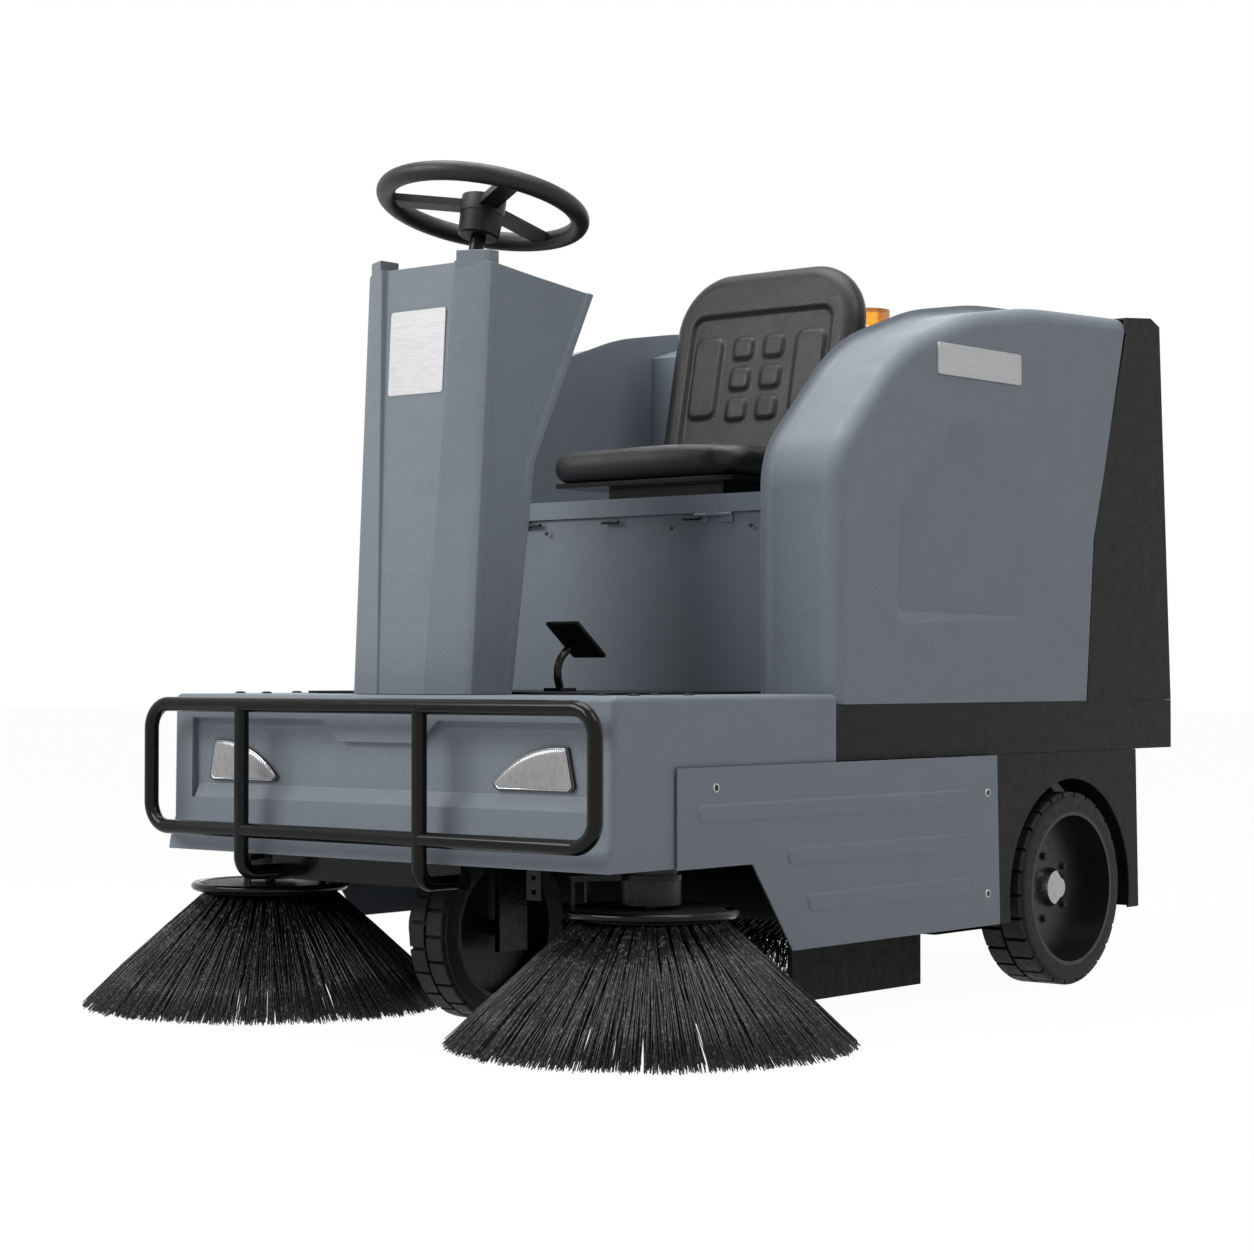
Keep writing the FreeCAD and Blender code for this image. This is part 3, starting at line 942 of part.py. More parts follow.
def hopper():
    """The debris hopper: a sheet box open to the brush, with runners and a pull handle."""
    low = Vector(-sizes.hopper_half, sizes.hopper_front_y, sizes.hopper_low_z)
    size = Vector(2 * sizes.hopper_half, sizes.hopper_rear_y - sizes.hopper_front_y, sizes.hopper_top_z - sizes.hopper_low_z)
    wall = sizes.hopper_wall
    box = Part.makeBox(size.x, size.y, size.z, low)
    box = box.cut(Part.makeBox(size.x - 2 * wall, size.y - 2 * wall, size.z - wall + sizes.overrun,
                               low + Vector(wall, wall, wall)))
    mouth = Part.makeBox(size.x - 2 * wall, 2 * wall, size.z,
                         Vector(low.x + wall, low.y - wall / 2, sizes.hopper_mouth_low_z))
    box = box.cut(mouth)
    for sign in (1, -1):
        reach = sizes.axle_plate_x - sizes.axle_plate - sizes.hopper_side_gap
        x = sizes.hopper_half - wall if sign > 0 else -reach
        runner = Part.makeBox(reach - sizes.hopper_half + wall, size.y, wall, Vector(x, low.y, sizes.hopper_flange_z))
        box = box.fuse(runner)
    rear = sizes.hopper_rear_y
    half = sizes.handle_half
    grip = bent_tube([Vector(-half, rear - wall / 2, sizes.handle_z), Vector(-half, rear + sizes.handle_reach, sizes.handle_z),
                      Vector(half, rear + sizes.handle_reach, sizes.handle_z), Vector(half, rear - wall / 2, sizes.handle_z)],
                     [2 * sizes.handle_tube] * 2, sizes.handle_tube)
    from_shape("hopper", box.fuse(grip).removeSplitter())


def battery():
    keep(block("Battery", ("-battery_half", "battery_front_y", "rail_bottom_z + rail_height + seat_gap"),
               ("battery_half", "battery_front_y + battery_length",
                "rail_bottom_z + rail_height + seat_gap + battery_height")), "battery")


chassis()
front_shell()
foot_mat()
headlights()
guard()
column()
steering()
pedals()
rear_body()
side_panels()
seat()
beacon()
rear_wheels()
front_wheel()
fork()
side_brushes()
main_brush()
housing()
hopper()
battery()

doc.recompute()
for item in doc.Objects:
    if "Invalid" in item.State or "Error" in item.State:
        raise RuntimeError("%s failed: %s" % (item.Name, item.State))
os.makedirs("parts", exist_ok=True)
for item in nodes:
    if item.Shape.isNull() or not item.Shape.isValid():
        raise RuntimeError(item.Label + " has no valid shape")
    item.Shape.exportStep("parts/%s.step" % item.Label)
print("%d sub-parts" % len(nodes))
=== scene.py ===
import json
import random
from math import cos, exp, hypot, pi, radians, sin, sqrt, tan, tau

import bmesh
import bpy
from mathutils import Matrix, Vector, geometry, noise

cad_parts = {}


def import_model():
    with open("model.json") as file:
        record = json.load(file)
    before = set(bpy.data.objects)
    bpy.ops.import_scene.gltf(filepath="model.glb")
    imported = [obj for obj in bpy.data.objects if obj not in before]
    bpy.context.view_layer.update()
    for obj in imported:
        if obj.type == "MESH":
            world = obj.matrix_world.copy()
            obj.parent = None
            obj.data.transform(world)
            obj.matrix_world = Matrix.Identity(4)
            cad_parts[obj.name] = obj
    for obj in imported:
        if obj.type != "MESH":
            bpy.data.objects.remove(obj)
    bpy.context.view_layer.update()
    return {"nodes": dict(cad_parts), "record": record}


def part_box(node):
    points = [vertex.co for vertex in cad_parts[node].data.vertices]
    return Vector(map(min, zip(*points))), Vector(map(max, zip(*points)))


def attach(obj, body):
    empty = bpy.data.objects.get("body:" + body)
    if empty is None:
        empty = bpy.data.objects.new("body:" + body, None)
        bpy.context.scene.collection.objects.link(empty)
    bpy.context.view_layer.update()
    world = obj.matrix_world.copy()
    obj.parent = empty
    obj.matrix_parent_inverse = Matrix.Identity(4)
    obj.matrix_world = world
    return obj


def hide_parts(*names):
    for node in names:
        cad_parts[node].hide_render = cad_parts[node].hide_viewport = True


# A compact ride-on road sweeper. Metres, in the CAD frame: it drives towards -Y, and its left is +X.

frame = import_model()

MM = 0.001
RNG_SEED = 7
SIDES = (("left", 1), ("right", -1))
ALONG_X, ALONG_Y, ALONG_Z = Vector((1, 0, 0)), Vector((0, 1, 0)), Vector((0, 0, 1))
THIN = 0.0005


# Materials

EVEN = (1, 1, 1)
LIGHT_BLOBS, DARK_BLOBS = (0.35, 0.65), (0.5, 0.3)
GLOSS_BLOBS = (0.3, 0.7)
# Pale spots painted on the strands as highlights
PAINTED_GLINT_SPOTS = (0.56, 0.66)
# Painted highlight along edges, spread over this range of bend between the rounded and the flat normal
EDGE_HIGHLIGHT_BENDS = (0.97, 0.8)


class Surface:
    """A node material round one Principled shader. Sizes are in metres and colours are linear."""

    def __init__(self, name, colour, roughness, metallic=0.0, specular=0.5):
        self.material = bpy.data.materials.new(name)
        self.material.use_nodes = True
        self.tree = self.material.node_tree
        self.shader = self.tree.nodes["Principled BSDF"]
        self.place = self.add("ShaderNodeTexCoord").outputs["Object"]
        self.set({"Base Color": (*colour, 1.0), "Roughness": roughness, "Metallic": metallic,
                  "Specular IOR Level": specular})
        self.colour = None
        self.normal = None
        self.base = colour
        self.roughness = roughness

    def add(self, kind, values=(), **settings):
        """A new node, with values on its own sockets."""
        node = self.tree.nodes.new(kind)
        for key, value in settings.items():
            setattr(node, key, value)
        for key, value in dict(values).items():
            node.inputs[key].default_value = value
        return node

    def link(self, output, entry):
        self.tree.links.new(output, entry)

    def set(self, values):
        for name, value in dict(values).items():
            self.shader.inputs[name].default_value = value

    def pattern(self, size, detail=3.0, stretch=EVEN):
        """Noise from 0 to 1 with blobs of that size."""
        source = self.place
        if stretch != EVEN:
            mapping = self.add("ShaderNodeMapping", {"Scale": stretch})
            self.link(source, mapping.inputs["Vector"])
            source = mapping.outputs["Vector"]
        node = self.add("ShaderNodeTexNoise", {"Scale": 1 / size, "Detail": detail})
        self.link(source, node.inputs["Vector"])
        return node.outputs["Fac"]

    def cells(self, size):
        """Distances in a cell pattern, for leather grain and pebbled skins."""
        node = self.add("ShaderNodeTexVoronoi", {"Scale": 1 / size})
        self.link(self.place, node.inputs["Vector"])
        return node.outputs["Distance"]

    def spread(self, value, low, high, new_low=0, new_high=1):
        """Stretches the range from low to high over the new one."""
        node = self.add("ShaderNodeMapRange", {"From Min": low, "From Max": high,
                                               "To Min": new_low, "To Max": new_high})
        self.link(value, node.inputs["Value"])
        return node.outputs["Result"]

    def tint(self, factor, colour, share=1.0):
        """Mixes a share of another colour in, where the factor is 1."""
        if share != 1.0:
            factor = self.spread(factor, 0, 1, 0, share)
        mix = self.add("ShaderNodeMix", data_type="RGBA")
        self.link(factor, mix.inputs["Factor"])
        if self.colour is None:
            mix.inputs["A"].default_value = (*self.base, 1.0)
        else:
            self.link(self.colour, mix.inputs["A"])
        mix.inputs["B"].default_value = (*colour, 1.0)
        self.colour = mix.outputs["Result"]
        self.link(self.colour, self.shader.inputs["Base Color"])

    def mottle(self, size, share, detail=3.0, stretch=EVEN):
        """Lighter and darker blobs, that share of the colour each way."""
        field = self.pattern(size, detail, stretch)
        self.tint(self.spread(field, *LIGHT_BLOBS), [c * (1 + share) for c in self.base])
        self.tint(self.spread(field, *DARK_BLOBS), [c * (1 - share) for c in self.base])

    def vary_roughness(self, size, spread):
        low, high = self.roughness - spread, self.roughness + spread
        value = self.spread(self.pattern(size), *GLOSS_BLOBS, low, high)
        self.link(value, self.shader.inputs["Roughness"])

    def bump(self, height, depth):
        node = self.add("ShaderNodeBump", {"Distance": depth, "Strength": 1.0})
        self.link(height, node.inputs["Height"])
        if self.normal is not None:
            self.link(self.normal, node.inputs["Normal"])
        self.normal = node.outputs["Normal"]
        self.link(self.normal, self.shader.inputs["Normal"])

    def edge_rounds_and_painted_highlights(self, colour, radius, share):
        """A painted highlight: a lighter line along edges."""
        round_normal = self.add("ShaderNodeBevel", {"Radius": radius}, samples=4)
        flat_normal = self.add("ShaderNodeNewGeometry").outputs["Normal"]
        dot = self.add("ShaderNodeVectorMath", operation="DOT_PRODUCT")
        self.link(round_normal.outputs["Normal"], dot.inputs[0])
        self.link(flat_normal, dot.inputs[1])
        self.tint(self.spread(dot.outputs["Value"], *EDGE_HIGHLIGHT_BENDS), colour, share)


def finish(name, colour, roughness, mottles=(), pale=None, edges=None, gloss=None, grain=None, bumps=(),
           values=(), **shader):
    """A material from these rows, each left out where there is none:
    mottles (size, share, detail, stretch), pale spots painted as highlights (colour, size),
    edges painted as highlights (colour, radius, share), gloss (size, spread), grain (size, depth), bumps
    (depth, size, detail, stretch)."""
    surface = Surface(name, colour, roughness, **shader)
    for row in mottles:
        surface.mottle(*row)
    # Pale spots painted on as highlights
    if pale:
        spots = surface.pattern(pale[1], 1.0)
        surface.tint(surface.spread(spots, *PAINTED_GLINT_SPOTS), pale[0])
    # Painted highlight: a lighter line along the edges
    if edges:
        surface.edge_rounds_and_painted_highlights(*edges)
    if gloss:
        surface.vary_roughness(*gloss)
    if grain:
        surface.bump(surface.cells(grain[0]), grain[1])
    for depth, *row in bumps:
        surface.bump(surface.pattern(*row), depth)
    surface.set(values)
    return surface.material


# The edges rows paint a lighter highlight along each edge.
FINISHES = {
    # Glossy black coating on tube and plate
    "frame_steel": finish(
        "coated_steel", (0.0030, 0.0030, 0.0033), 0.17, specular=0.17, mottles=((0.03, 0.15),),
        edges=((0.02, 0.02, 0.02), 0.0012, 0.3), gloss=(0.015, 0.05), bumps=((0.00008, 0.004, 1.0),)),
    # Textured rotational moulding: a fine even grain with faint speckle and slow clouds
    "slate_moulding": finish(
        "moulded_slate", (0.135, 0.157, 0.182), 0.56, specular=0.35,
        mottles=((0.09, 0.05), (0.0022, 0.10, 2.0)), edges=((0.24, 0.27, 0.30), 0.0025, 0.35),
        gloss=(0.03, 0.05), bumps=((0.00025, 0.0016, 2.0), (0.0002, 0.012, 2.0))),
    # Powder-coated sheet: smoother than the mouldings, with a slight orange peel
    "slate_sheet": finish(
        "painted_slate", (0.120, 0.142, 0.168), 0.46, specular=0.4,
        mottles=((0.12, 0.04), (0.003, 0.05, 2.0)), edges=((0.24, 0.26, 0.28), 0.0015, 0.4),
        gloss=(0.04, 0.04), bumps=((0.00012, 0.0025, 1.0),)),
    "black_moulding": finish(
        "black_plastic", (0.0070, 0.0072, 0.0078), 0.50, specular=0.13,
        mottles=((0.05, 0.12), (0.002, 0.12, 2.0)), edges=((0.022, 0.022, 0.024), 0.002, 0.4),
        gloss=(0.02, 0.06), bumps=((0.00018, 0.0014, 2.0),)),
    "lamp_glass": finish(
        "lamp_housing", (0.02, 0.02, 0.021), 0.35, mottles=((0.01, 0.15),), bumps=((0.0001, 0.001, 2.0),)),
    "wheel_grip": finish(
        "grip_rubber", (0.008, 0.008, 0.0085), 0.44, specular=0.3, mottles=((0.02, 0.12),),
        gloss=(0.01, 0.06), grain=(0.0022, 0.00025)),
    "bright_steel": finish(
        "polished_steel", (0.33, 0.335, 0.345), 0.16, metallic=1.0, mottles=((0.01, 0.05),),
        gloss=(0.004, 0.04)),
    "rubber_flap": finish(
        "flap_rubber", (0.009, 0.009, 0.0088), 0.7, specular=0.18, mottles=((0.03, 0.3, 3.0, (1, 1, 0.3)),),
        gloss=(0.02, 0.08), bumps=((0.0003, 0.0015, 3.0, (1, 1, 0.2)),)),
    # Black vinyl with a leather grain, a little shinier where it is rubbed
    "seat_cover": finish(
        "seat_vinyl", (0.0095, 0.0092, 0.0092), 0.38, specular=0.26,
        mottles=((0.06, 0.10), (0.004, 0.10, 2.0)), gloss=(0.05, 0.07), grain=(0.0026, 0.0003),
        bumps=((0.0002, 0.0011, 3.0),)),
    "beacon_base": finish(
        "beacon_plastic", (0.35, 0.12, 0.03), 0.4, mottles=((0.008, 0.2),), bumps=((0.0001, 0.0015, 2.0),)),
    "beacon_amber": finish(
        "amber_lens", (0.80, 0.30, 0.02), 0.14, mottles=((0.01, 0.15),), bumps=((0.0002, 0.003, 1.0),),
        values={"Transmission Weight": 0.55, "IOR": 1.49}),
    "tyre": finish(
        "tyre_rubber", (0.0085, 0.0085, 0.0087), 0.62, specular=0.22, mottles=((0.02, 0.25),),
        edges=((0.045, 0.044, 0.043), 0.002, 0.5), gloss=(0.01, 0.1), bumps=((0.0002, 0.0012, 3.0),)),
    "rim_black": finish(
        "rim_paint", (0.007, 0.007, 0.0073), 0.36, specular=0.3, mottles=((0.02, 0.15),),
        edges=((0.06, 0.06, 0.062), 0.0015, 0.3), gloss=(0.012, 0.06), bumps=((0.00008, 0.002, 1.0),)),
    "motor_black": finish(
        "motor_black", (0.007, 0.007, 0.0075), 0.42, specular=0.3, mottles=((0.01, 0.25),),
        gloss=(0.008, 0.1), bumps=((0.0002, 0.0018, 2.0),)),
    # Black polypropylene strands, with pale spots painted on as highlights
    "bristle": finish(
        "bristle_plastic", (0.010, 0.010, 0.0107), 0.36, specular=0.45, mottles=((0.006, 0.5),),
        pale=((0.10, 0.10, 0.104), 0.005)),
    "battery_case": finish(
        "battery_plastic", (0.045, 0.046, 0.05), 0.45, mottles=((0.03, 0.1),),
        bumps=((0.0001, 0.0015, 2.0),)),
    # Satin aluminium of the bare plates, brushed lengthwise
    "plate": finish(
        "plate_metal", (0.43, 0.43, 0.44), 0.5, metallic=0.35,
        mottles=((0.03, 0.05), (0.0015, 0.08, 2.0, (0.06, 0.06, 1))), gloss=(0.01, 0.06),
        bumps=((0.00005, 0.0008, 1.0, (0.05, 0.05, 1)),)),
    "zinc": finish(
        "zinc_plating", (0.42, 0.42, 0.41), 0.3, metallic=1.0, mottles=((0.003, 0.25),), gloss=(0.003, 0.1),
        bumps=((0.0001, 0.0015, 2.0),)),
    # Clear lens over a silvered reflector, read as one pale glossy skin
    "lens": finish(
        "lamp_lens", (0.24, 0.24, 0.245), 0.2, metallic=0.3,
        mottles=((0.012, 0.18), (0.002, 0.12, 2.0, (1, 1, 0.1))),
        values={"Coat Weight": 1.0, "Coat Roughness": 0.04}),
    "red": finish(
        "red_lens", (0.45, 0.02, 0.012), 0.2, mottles=((0.006, 0.2),), values={"Transmission Weight": 0.2}),
}


# Shading and edges

CREASE_ANGLE = radians(24)
BEVEL_ANGLE = radians(22)
FLAT_ANGLE = radians(0.4)
WELD_GAP = 0.00002
NORMAL_WEIGHT = 80
EDGE_ROUNDS = {
    "chassis_frame": 1.0, "rear_belt": 1.2, "seat_box": 1.2, "seat_lid": 1.2, "cockpit_back": 1.5,
    "brush_housing": 0.6, "fork": 1.0, "skirt_left": 1.2, "skirt_right": 1.2, "flap_left": 0.8,
    "flap_right": 0.8, "hopper": 1.0, "battery": 2.5, "rear_hood": 2.2, "headlight_left": 1.0,
    "headlight_right": 1.0, "dash_panel": 1.0, "foot_mat": 1.0, "seat_pan": 1.0,
}
SLOTS = {row["node"]: row["material_slot"] for row in frame["record"]["subparts"]}
OWN_FINISHES = {"steering_shaft": "frame_steel"}


def crease_group():
    """Geometry nodes that shade every face smooth and keep the sharper edges as creases."""
    group = bpy.data.node_groups.new("creases", "GeometryNodeTree")
    for way in ("INPUT", "OUTPUT"):
        group.interface.new_socket("Geometry", in_out=way, socket_type="NodeSocketGeometry")
    start = group.nodes.new("NodeGroupInput")
    end = group.nodes.new("NodeGroupOutput")
    bend = group.nodes.new("GeometryNodeInputMeshEdgeAngle")
    below = group.nodes.new("FunctionNodeCompare")
    below.data_type = "FLOAT"
    below.operation = "LESS_THAN"
    below.inputs["B"].default_value = CREASE_ANGLE
    faces = group.nodes.new("GeometryNodeSetShadeSmooth")
    edges = group.nodes.new("GeometryNodeSetShadeSmooth")
    edges.domain = "EDGE"
    group.links.new(bend.outputs["Unsigned Angle"], below.inputs["A"])
    group.links.new(below.outputs["Result"], edges.inputs["Shade Smooth"])
    group.links.new(start.outputs["Geometry"], faces.inputs["Geometry"])
    group.links.new(faces.outputs["Geometry"], edges.inputs["Geometry"])
    group.links.new(edges.outputs["Geometry"], end.inputs["Geometry"])
    return group


CREASES = crease_group()


def creased(obj):
    """Smooth shading between creases, with large faces kept flat."""
    obj.modifiers.new("creases", "NODES").node_group = CREASES
    weighted = obj.modifiers.new("flat_faces", "WEIGHTED_NORMAL")
    weighted.keep_sharp = True
    weighted.weight = NORMAL_WEIGHT


def bevelled(obj, width, segments=2):
    bevel = obj.modifiers.new("edge_rounds_and_painted_highlights", "BEVEL")
    bevel.width = width
    bevel.segments = segments
    bevel.limit_method = "ANGLE"
    bevel.angle_limit = BEVEL_ANGLE
    bevel.use_clamp_overlap = True
    bevel.miter_outer = "MITER_ARC"


def dress(name, obj):
    """Gives a CAD node its finish and true shading, and small rounds on the square ones."""
    obj.data.materials.clear()
    obj.data.materials.append(FINISHES[OWN_FINISHES.get(name, SLOTS[name])])
    attribute = obj.data.attributes.get("custom_normal")
    if attribute is not None:
        obj.data.attributes.remove(attribute)
    obj.modifiers.new("weld", "WELD").merge_threshold = WELD_GAP
    if name in EDGE_ROUNDS:
        flat = obj.modifiers.new("flat", "DECIMATE")
        flat.decimate_type = "DISSOLVE"
        flat.angle_limit = FLAT_ANGLE
        bevelled(obj, EDGE_ROUNDS[name] * MM)
    creased(obj)


for node_name, node_object in frame["nodes"].items():
    dress(node_name, node_object)


# Mesh helpers. A form is a pair of points and faces.

def placed(name, data):
    """An object of that data in the scene."""
    obj = bpy.data.objects.new(name, data)
    bpy.context.scene.collection.objects.link(obj)
    return obj


def form_mesh(name, form):
    points, faces = form
    mesh = bpy.data.meshes.new(name)
    mesh.from_pydata([tuple(p) for p in points], [], faces)
    mesh.update()
    return mesh


def piece(name, form, look, body="machine", crease=True):
    """A mesh piece in the CAD frame that rides on a body."""
    mesh = form_mesh(name, form)
    mesh.shade_smooth()
    mesh.materials.append(FINISHES[look])
    obj = placed(name, mesh)
    if crease:
        creased(obj)
    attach(obj, body)
    return obj


def grid_faces(rows, columns, closed_rows=False, closed_columns=False):
    """Quads of a grid whose points run along the columns first."""
    faces = []
    for r in range(rows if closed_rows else rows - 1):
        for c in range(columns if closed_columns else columns - 1):
            r2, c2 = (r + 1) % rows, (c + 1) % columns
            faces.append([r * columns + c, r * columns + c2, r2 * columns + c2, r2 * columns + c])
    return faces


def tube_faces(rows, columns):
    """Quads of a stack of closed rings, with a face over each end."""
    last = (rows - 1) * columns
    ends = [list(range(columns))[::-1], list(range(last, last + columns))]
    return grid_faces(rows, columns, closed_columns=True) + ends


def ring_basis(axis):
    """Two directions square to an axis and to each other."""
    side = axis.orthogonal().normalized()
    return side, axis.cross(side).normalized()


def lathe(profile, centre, axis, count=48):
    """A form of revolution: its profile is (along the axis, distance from it)."""
    side, up = ring_basis(axis)
    points = []
    for k in range(count):
        turn = tau * k / count
        out = side * cos(turn) + up * sin(turn)
        points += [centre + axis * a + out * r for a, r in profile]
    return points, grid_faces(count, len(profile), closed_rows=True)


def joined(forms):
    """Several forms as one."""
    points, faces = [], []
    for new_points, new_faces in forms:
        start = len(points)
        points += new_points
        faces += [[start + i for i in face] for face in new_faces]
    return points, faces


def wheel_point(centre, x, radius, turn):
    """A point round an axle along X."""
    return centre + Vector((x, cos(turn) * radius, sin(turn) * radius))


def centred(name):
    """The middle of a node's box and half its size."""
    low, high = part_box(name)
    return (low + high) / 2, (high - low) / 2


def outer_face(name, sign):
    """The x of a node's face away from the machine's middle."""
    low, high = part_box(name)
    return high.x if sign > 0 else low.x


def between(pair, share):
    return pair[0] + (pair[1] - pair[0]) * share


# Moulded forms

MOULDED_EDGE = 0.0035
ROUND_STEPS = 6


def rounded_path(corners, radii):
    """A path in the (y, z) plane with its corners rounded to the radii; 0 keeps a corner."""
    path = []
    for k, (corner, radius) in enumerate(zip(corners, radii)):
        here = Vector(corner)
        if radius == 0:
            path.append(here)
            continue
        before = (Vector(corners[k - 1]) - here).normalized()
        after = (Vector(corners[k + 1]) - here).normalized()
        half_angle = before.angle(after) / 2
        reach = radius / tan(half_angle)
        middle = here + (before + after).normalized() * (radius / sin(half_angle))
        start, end = here + before * reach - middle, here + after * reach - middle
        turn = start.angle(end)
        for t in range(ROUND_STEPS + 1):
            share = t / ROUND_STEPS
            arc = start * sin((1 - share) * turn) + end * sin(share * turn)
            path.append(middle + arc / sin(turn))
    return path


def inward(path):
    """The inward direction at each point of an open path."""
    normals = []
    for k in range(len(path)):
        along = (path[min(k + 1, len(path) - 1)] - path[max(k - 1, 0)]).normalized()
        normals.append(Vector((along.y, -along.x)))
    return normals


def edge_layers(face_x, radius):
    """(x, inset) pairs that round an edge towards a face at that x."""
    side = 1 if face_x > 0 else -1
    turns = [pi / 2 * k / ROUND_STEPS for k in range(ROUND_STEPS + 1)]
    return [(face_x - side * radius * (1 - sin(t)), radius * (1 - cos(t))) for t in turns]


def swept_form(path, rest, layers):
    """A prism along X between layers of (x, inset): the path is rounded in, the rest stays straight."""
    normals = inward(path)
    points = []
    for x, inset in layers:
        points += [Vector((x, *(p + n * inset))) for p, n in zip(path, normals)]
        points += [Vector((x, *p)) for p in rest]
    return points, tube_faces(len(layers), len(path) + len(rest))


def outward(obj):
    """Turns a closed mesh's faces outwards."""
    form = bmesh.new()
    form.from_mesh(obj.data)
    bmesh.ops.recalc_face_normals(form, faces=form.faces)
    form.to_mesh(obj.data)
    form.free()
    obj.data.shade_smooth()


def evaluated_mesh(obj):
    """A new mesh of an object with its modifiers."""
    bpy.context.view_layer.update()
    return bpy.data.meshes.new_from_object(obj.evaluated_get(bpy.context.evaluated_depsgraph_get()))


def settled(obj):
    """Puts an object's modifiers into its mesh."""
    mesh = evaluated_mesh(obj)
    obj.modifiers.clear()
    old = obj.data
    obj.data = mesh
    bpy.data.meshes.remove(old)


def moulding(name, form, look, edge=None, cutter=None):
    """A closed piece of the machine, with a cutter's form sunk in it and its edges rounded."""
    obj = piece(name, form, look, "machine", crease=False)
    outward(obj)
    if cutter is not None:
        cut = obj.modifiers.new("sunk_field", "BOOLEAN")
        cut.operation = "DIFFERENCE"
        cut.solver = "EXACT"
        cut.object = cutter
    if edge is not None:
        bevelled(obj, edge, 3)
        settled(obj)
    creased(obj)
    return obj


def metres(*pairs):
    return [(y * MM, z * MM) for y, z in pairs]


SHELL_PATH = metres((-179, 472.8), (-179, 848), (2.5, 1028), (210.5, 1096), (391.5, 1123), (678.5, 1133))
SHELL_ROUNDS = (0, 0.110, 0.330, 0.500, 0.900, 0)
SHELL_SEAM = metres((570, 747), (544, 472.8))
SHELL_OUTER_X, SHELL_INNER_X = 0.4393, 0.310
OUTER_ROUND, INNER_ROUND = 0.028, 0.014
FIELD_RIM = metres((366, 945), (123.5, 915), (-10.5, 785), (-18.5, 608), (1.5, 594.5), (366, 592))
FIELD_FLOOR = metres((356, 926), (133, 871), (8.5, 766), (0.5, 630), (20.5, 616.5), (356, 611))
FIELD_DEPTH, FIELD_START = 0.019, 0.2 * MM
CUTTER_PROUD = MM


def side_shell(side, sign):
    """A side shell with a rolled outer edge and the sunk field that runs out towards the rear."""
    path = rounded_path(SHELL_PATH, SHELL_ROUNDS)
    layers = (edge_layers(sign * SHELL_INNER_X, -INNER_ROUND)[::-1]
              + edge_layers(sign * SHELL_OUTER_X, OUTER_ROUND))
    face = sign * SHELL_OUTER_X
    rear = FIELD_RIM[0][0]
    span = rear - min(y for y, z in FIELD_RIM)
    points = [Vector((face + sign * CUTTER_PROUD, y, z)) for y, z in FIELD_RIM]
    points += [Vector((face - sign * (FIELD_DEPTH * (rear - y) / span + FIELD_START), y, z))
               for y, z in FIELD_FLOOR]
    cutter = placed("field_cutter", form_mesh("field_cutter", (points, tube_faces(2, len(FIELD_RIM)))))
    outward(cutter)
    obj = moulding("moulded_shell_" + side, swept_form(path, SHELL_SEAM, layers), "slate_moulding",
                   MOULDED_EDGE, cutter)
    bpy.data.objects.remove(cutter)
    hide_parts("side_shell_" + side)


# The column's levels are (z, rear y); each pair below runs from its foot to its top.
COLUMN_LEVELS = ((0.4883, -0.541), (0.750, -0.505), (0.828, -0.496), (1.119, -0.3637))
COLUMN_FRONT = (-0.654, -0.617)
COLUMN_HALF = (0.120, 0.125)
PANEL_HALF = (0.046, 0.074)
PANEL_DEPTH = (0.003, 0.009)
RIDGE_SETBACK, STRIP_SETBACK, STRIP_WIDTH = 0.018, 0.026, 0.013
GROOVE_SETBACK, GROOVE_DEPTH, GROOVE_WIDTH, SIDE_MARGIN = 0.040, 0.0035, 0.003, 0.012
TOP_SLOPE = 27 / 242
EAR_INNER, EAR_OUTER = PANEL_HALF[1] + 0.003, COLUMN_HALF[1] - 0.004
EAR_PLAN = ((EAR_INNER, THIN), (COLUMN_HALF[1] - STRIP_WIDTH, RIDGE_SETBACK), (EAR_OUTER, STRIP_SETBACK),
            (EAR_OUTER, 0.046), (EAR_INNER, 0.040))
EAR_BELOW, EAR_ABOVE = 0.012, 0.0145


def column_section(z, rear):
    """Half a section of the column, from the middle of its front round to its rear: (x, y)."""
    share = (z - COLUMN_LEVELS[0][0]) / (COLUMN_LEVELS[-1][0] - COLUMN_LEVELS[0][0])
    front, half = between(COLUMN_FRONT, share), between(COLUMN_HALF, share)
    panel, deep = between(PANEL_HALF, share), between(PANEL_DEPTH, share)
    inner = half - GROOVE_DEPTH
    return [(panel - deep / 2, front + deep), (panel, front),
            (half - STRIP_WIDTH, front + RIDGE_SETBACK), (half, front + STRIP_SETBACK),
            (half, front + GROOVE_SETBACK), (inner, front + GROOVE_SETBACK + GROOVE_WIDTH),
            (inner, rear - SIDE_MARGIN - GROOVE_WIDTH), (half, rear - SIDE_MARGIN), (half, rear)]


def steering_column():
    """The column: sunk panel, sloped ridge faces, outer strips and sunk sides, with two ears on top."""
    front, top = COLUMN_FRONT[1], COLUMN_LEVELS[-1][0]
    points = []
    for z, rear in COLUMN_LEVELS:
        half = column_section(z, rear)
        for x, y in half + [(-x, y) for x, y in reversed(half)]:
            drop = max(y - front, 0) * TOP_SLOPE if z == top else 0
            points.append(Vector((x, y, z - drop)))
    forms = [(points, tube_faces(len(COLUMN_LEVELS), len(points) // len(COLUMN_LEVELS)))]
    for sign in (1, -1):
        ear = [Vector((sign * x, front + y, z)) for z in (top - EAR_BELOW, top + EAR_ABOVE)
               for x, y in EAR_PLAN]
        forms.append((ear, tube_faces(2, len(EAR_PLAN))))
    obj = moulding("moulded_column", joined(forms), "slate_moulding", MOULDED_EDGE)
    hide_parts("column")


RIB_FRONTS = (-0.5235, -0.3145, -0.266)
RIB_REAR, RIB_TOP_Z, RIB_PITCH, RIB_HALF, RIB_PROUD = 0.165, 0.323, 0.069, 0.01375, 0.003
RIB_SLOPE = ((0.0, 0.0), (0.0012, 0.35), (0.0030, 0.80), (0.0052, 1.0))
RIB_END_STEPS = 10
RIB_SUNK = 0.2 * MM


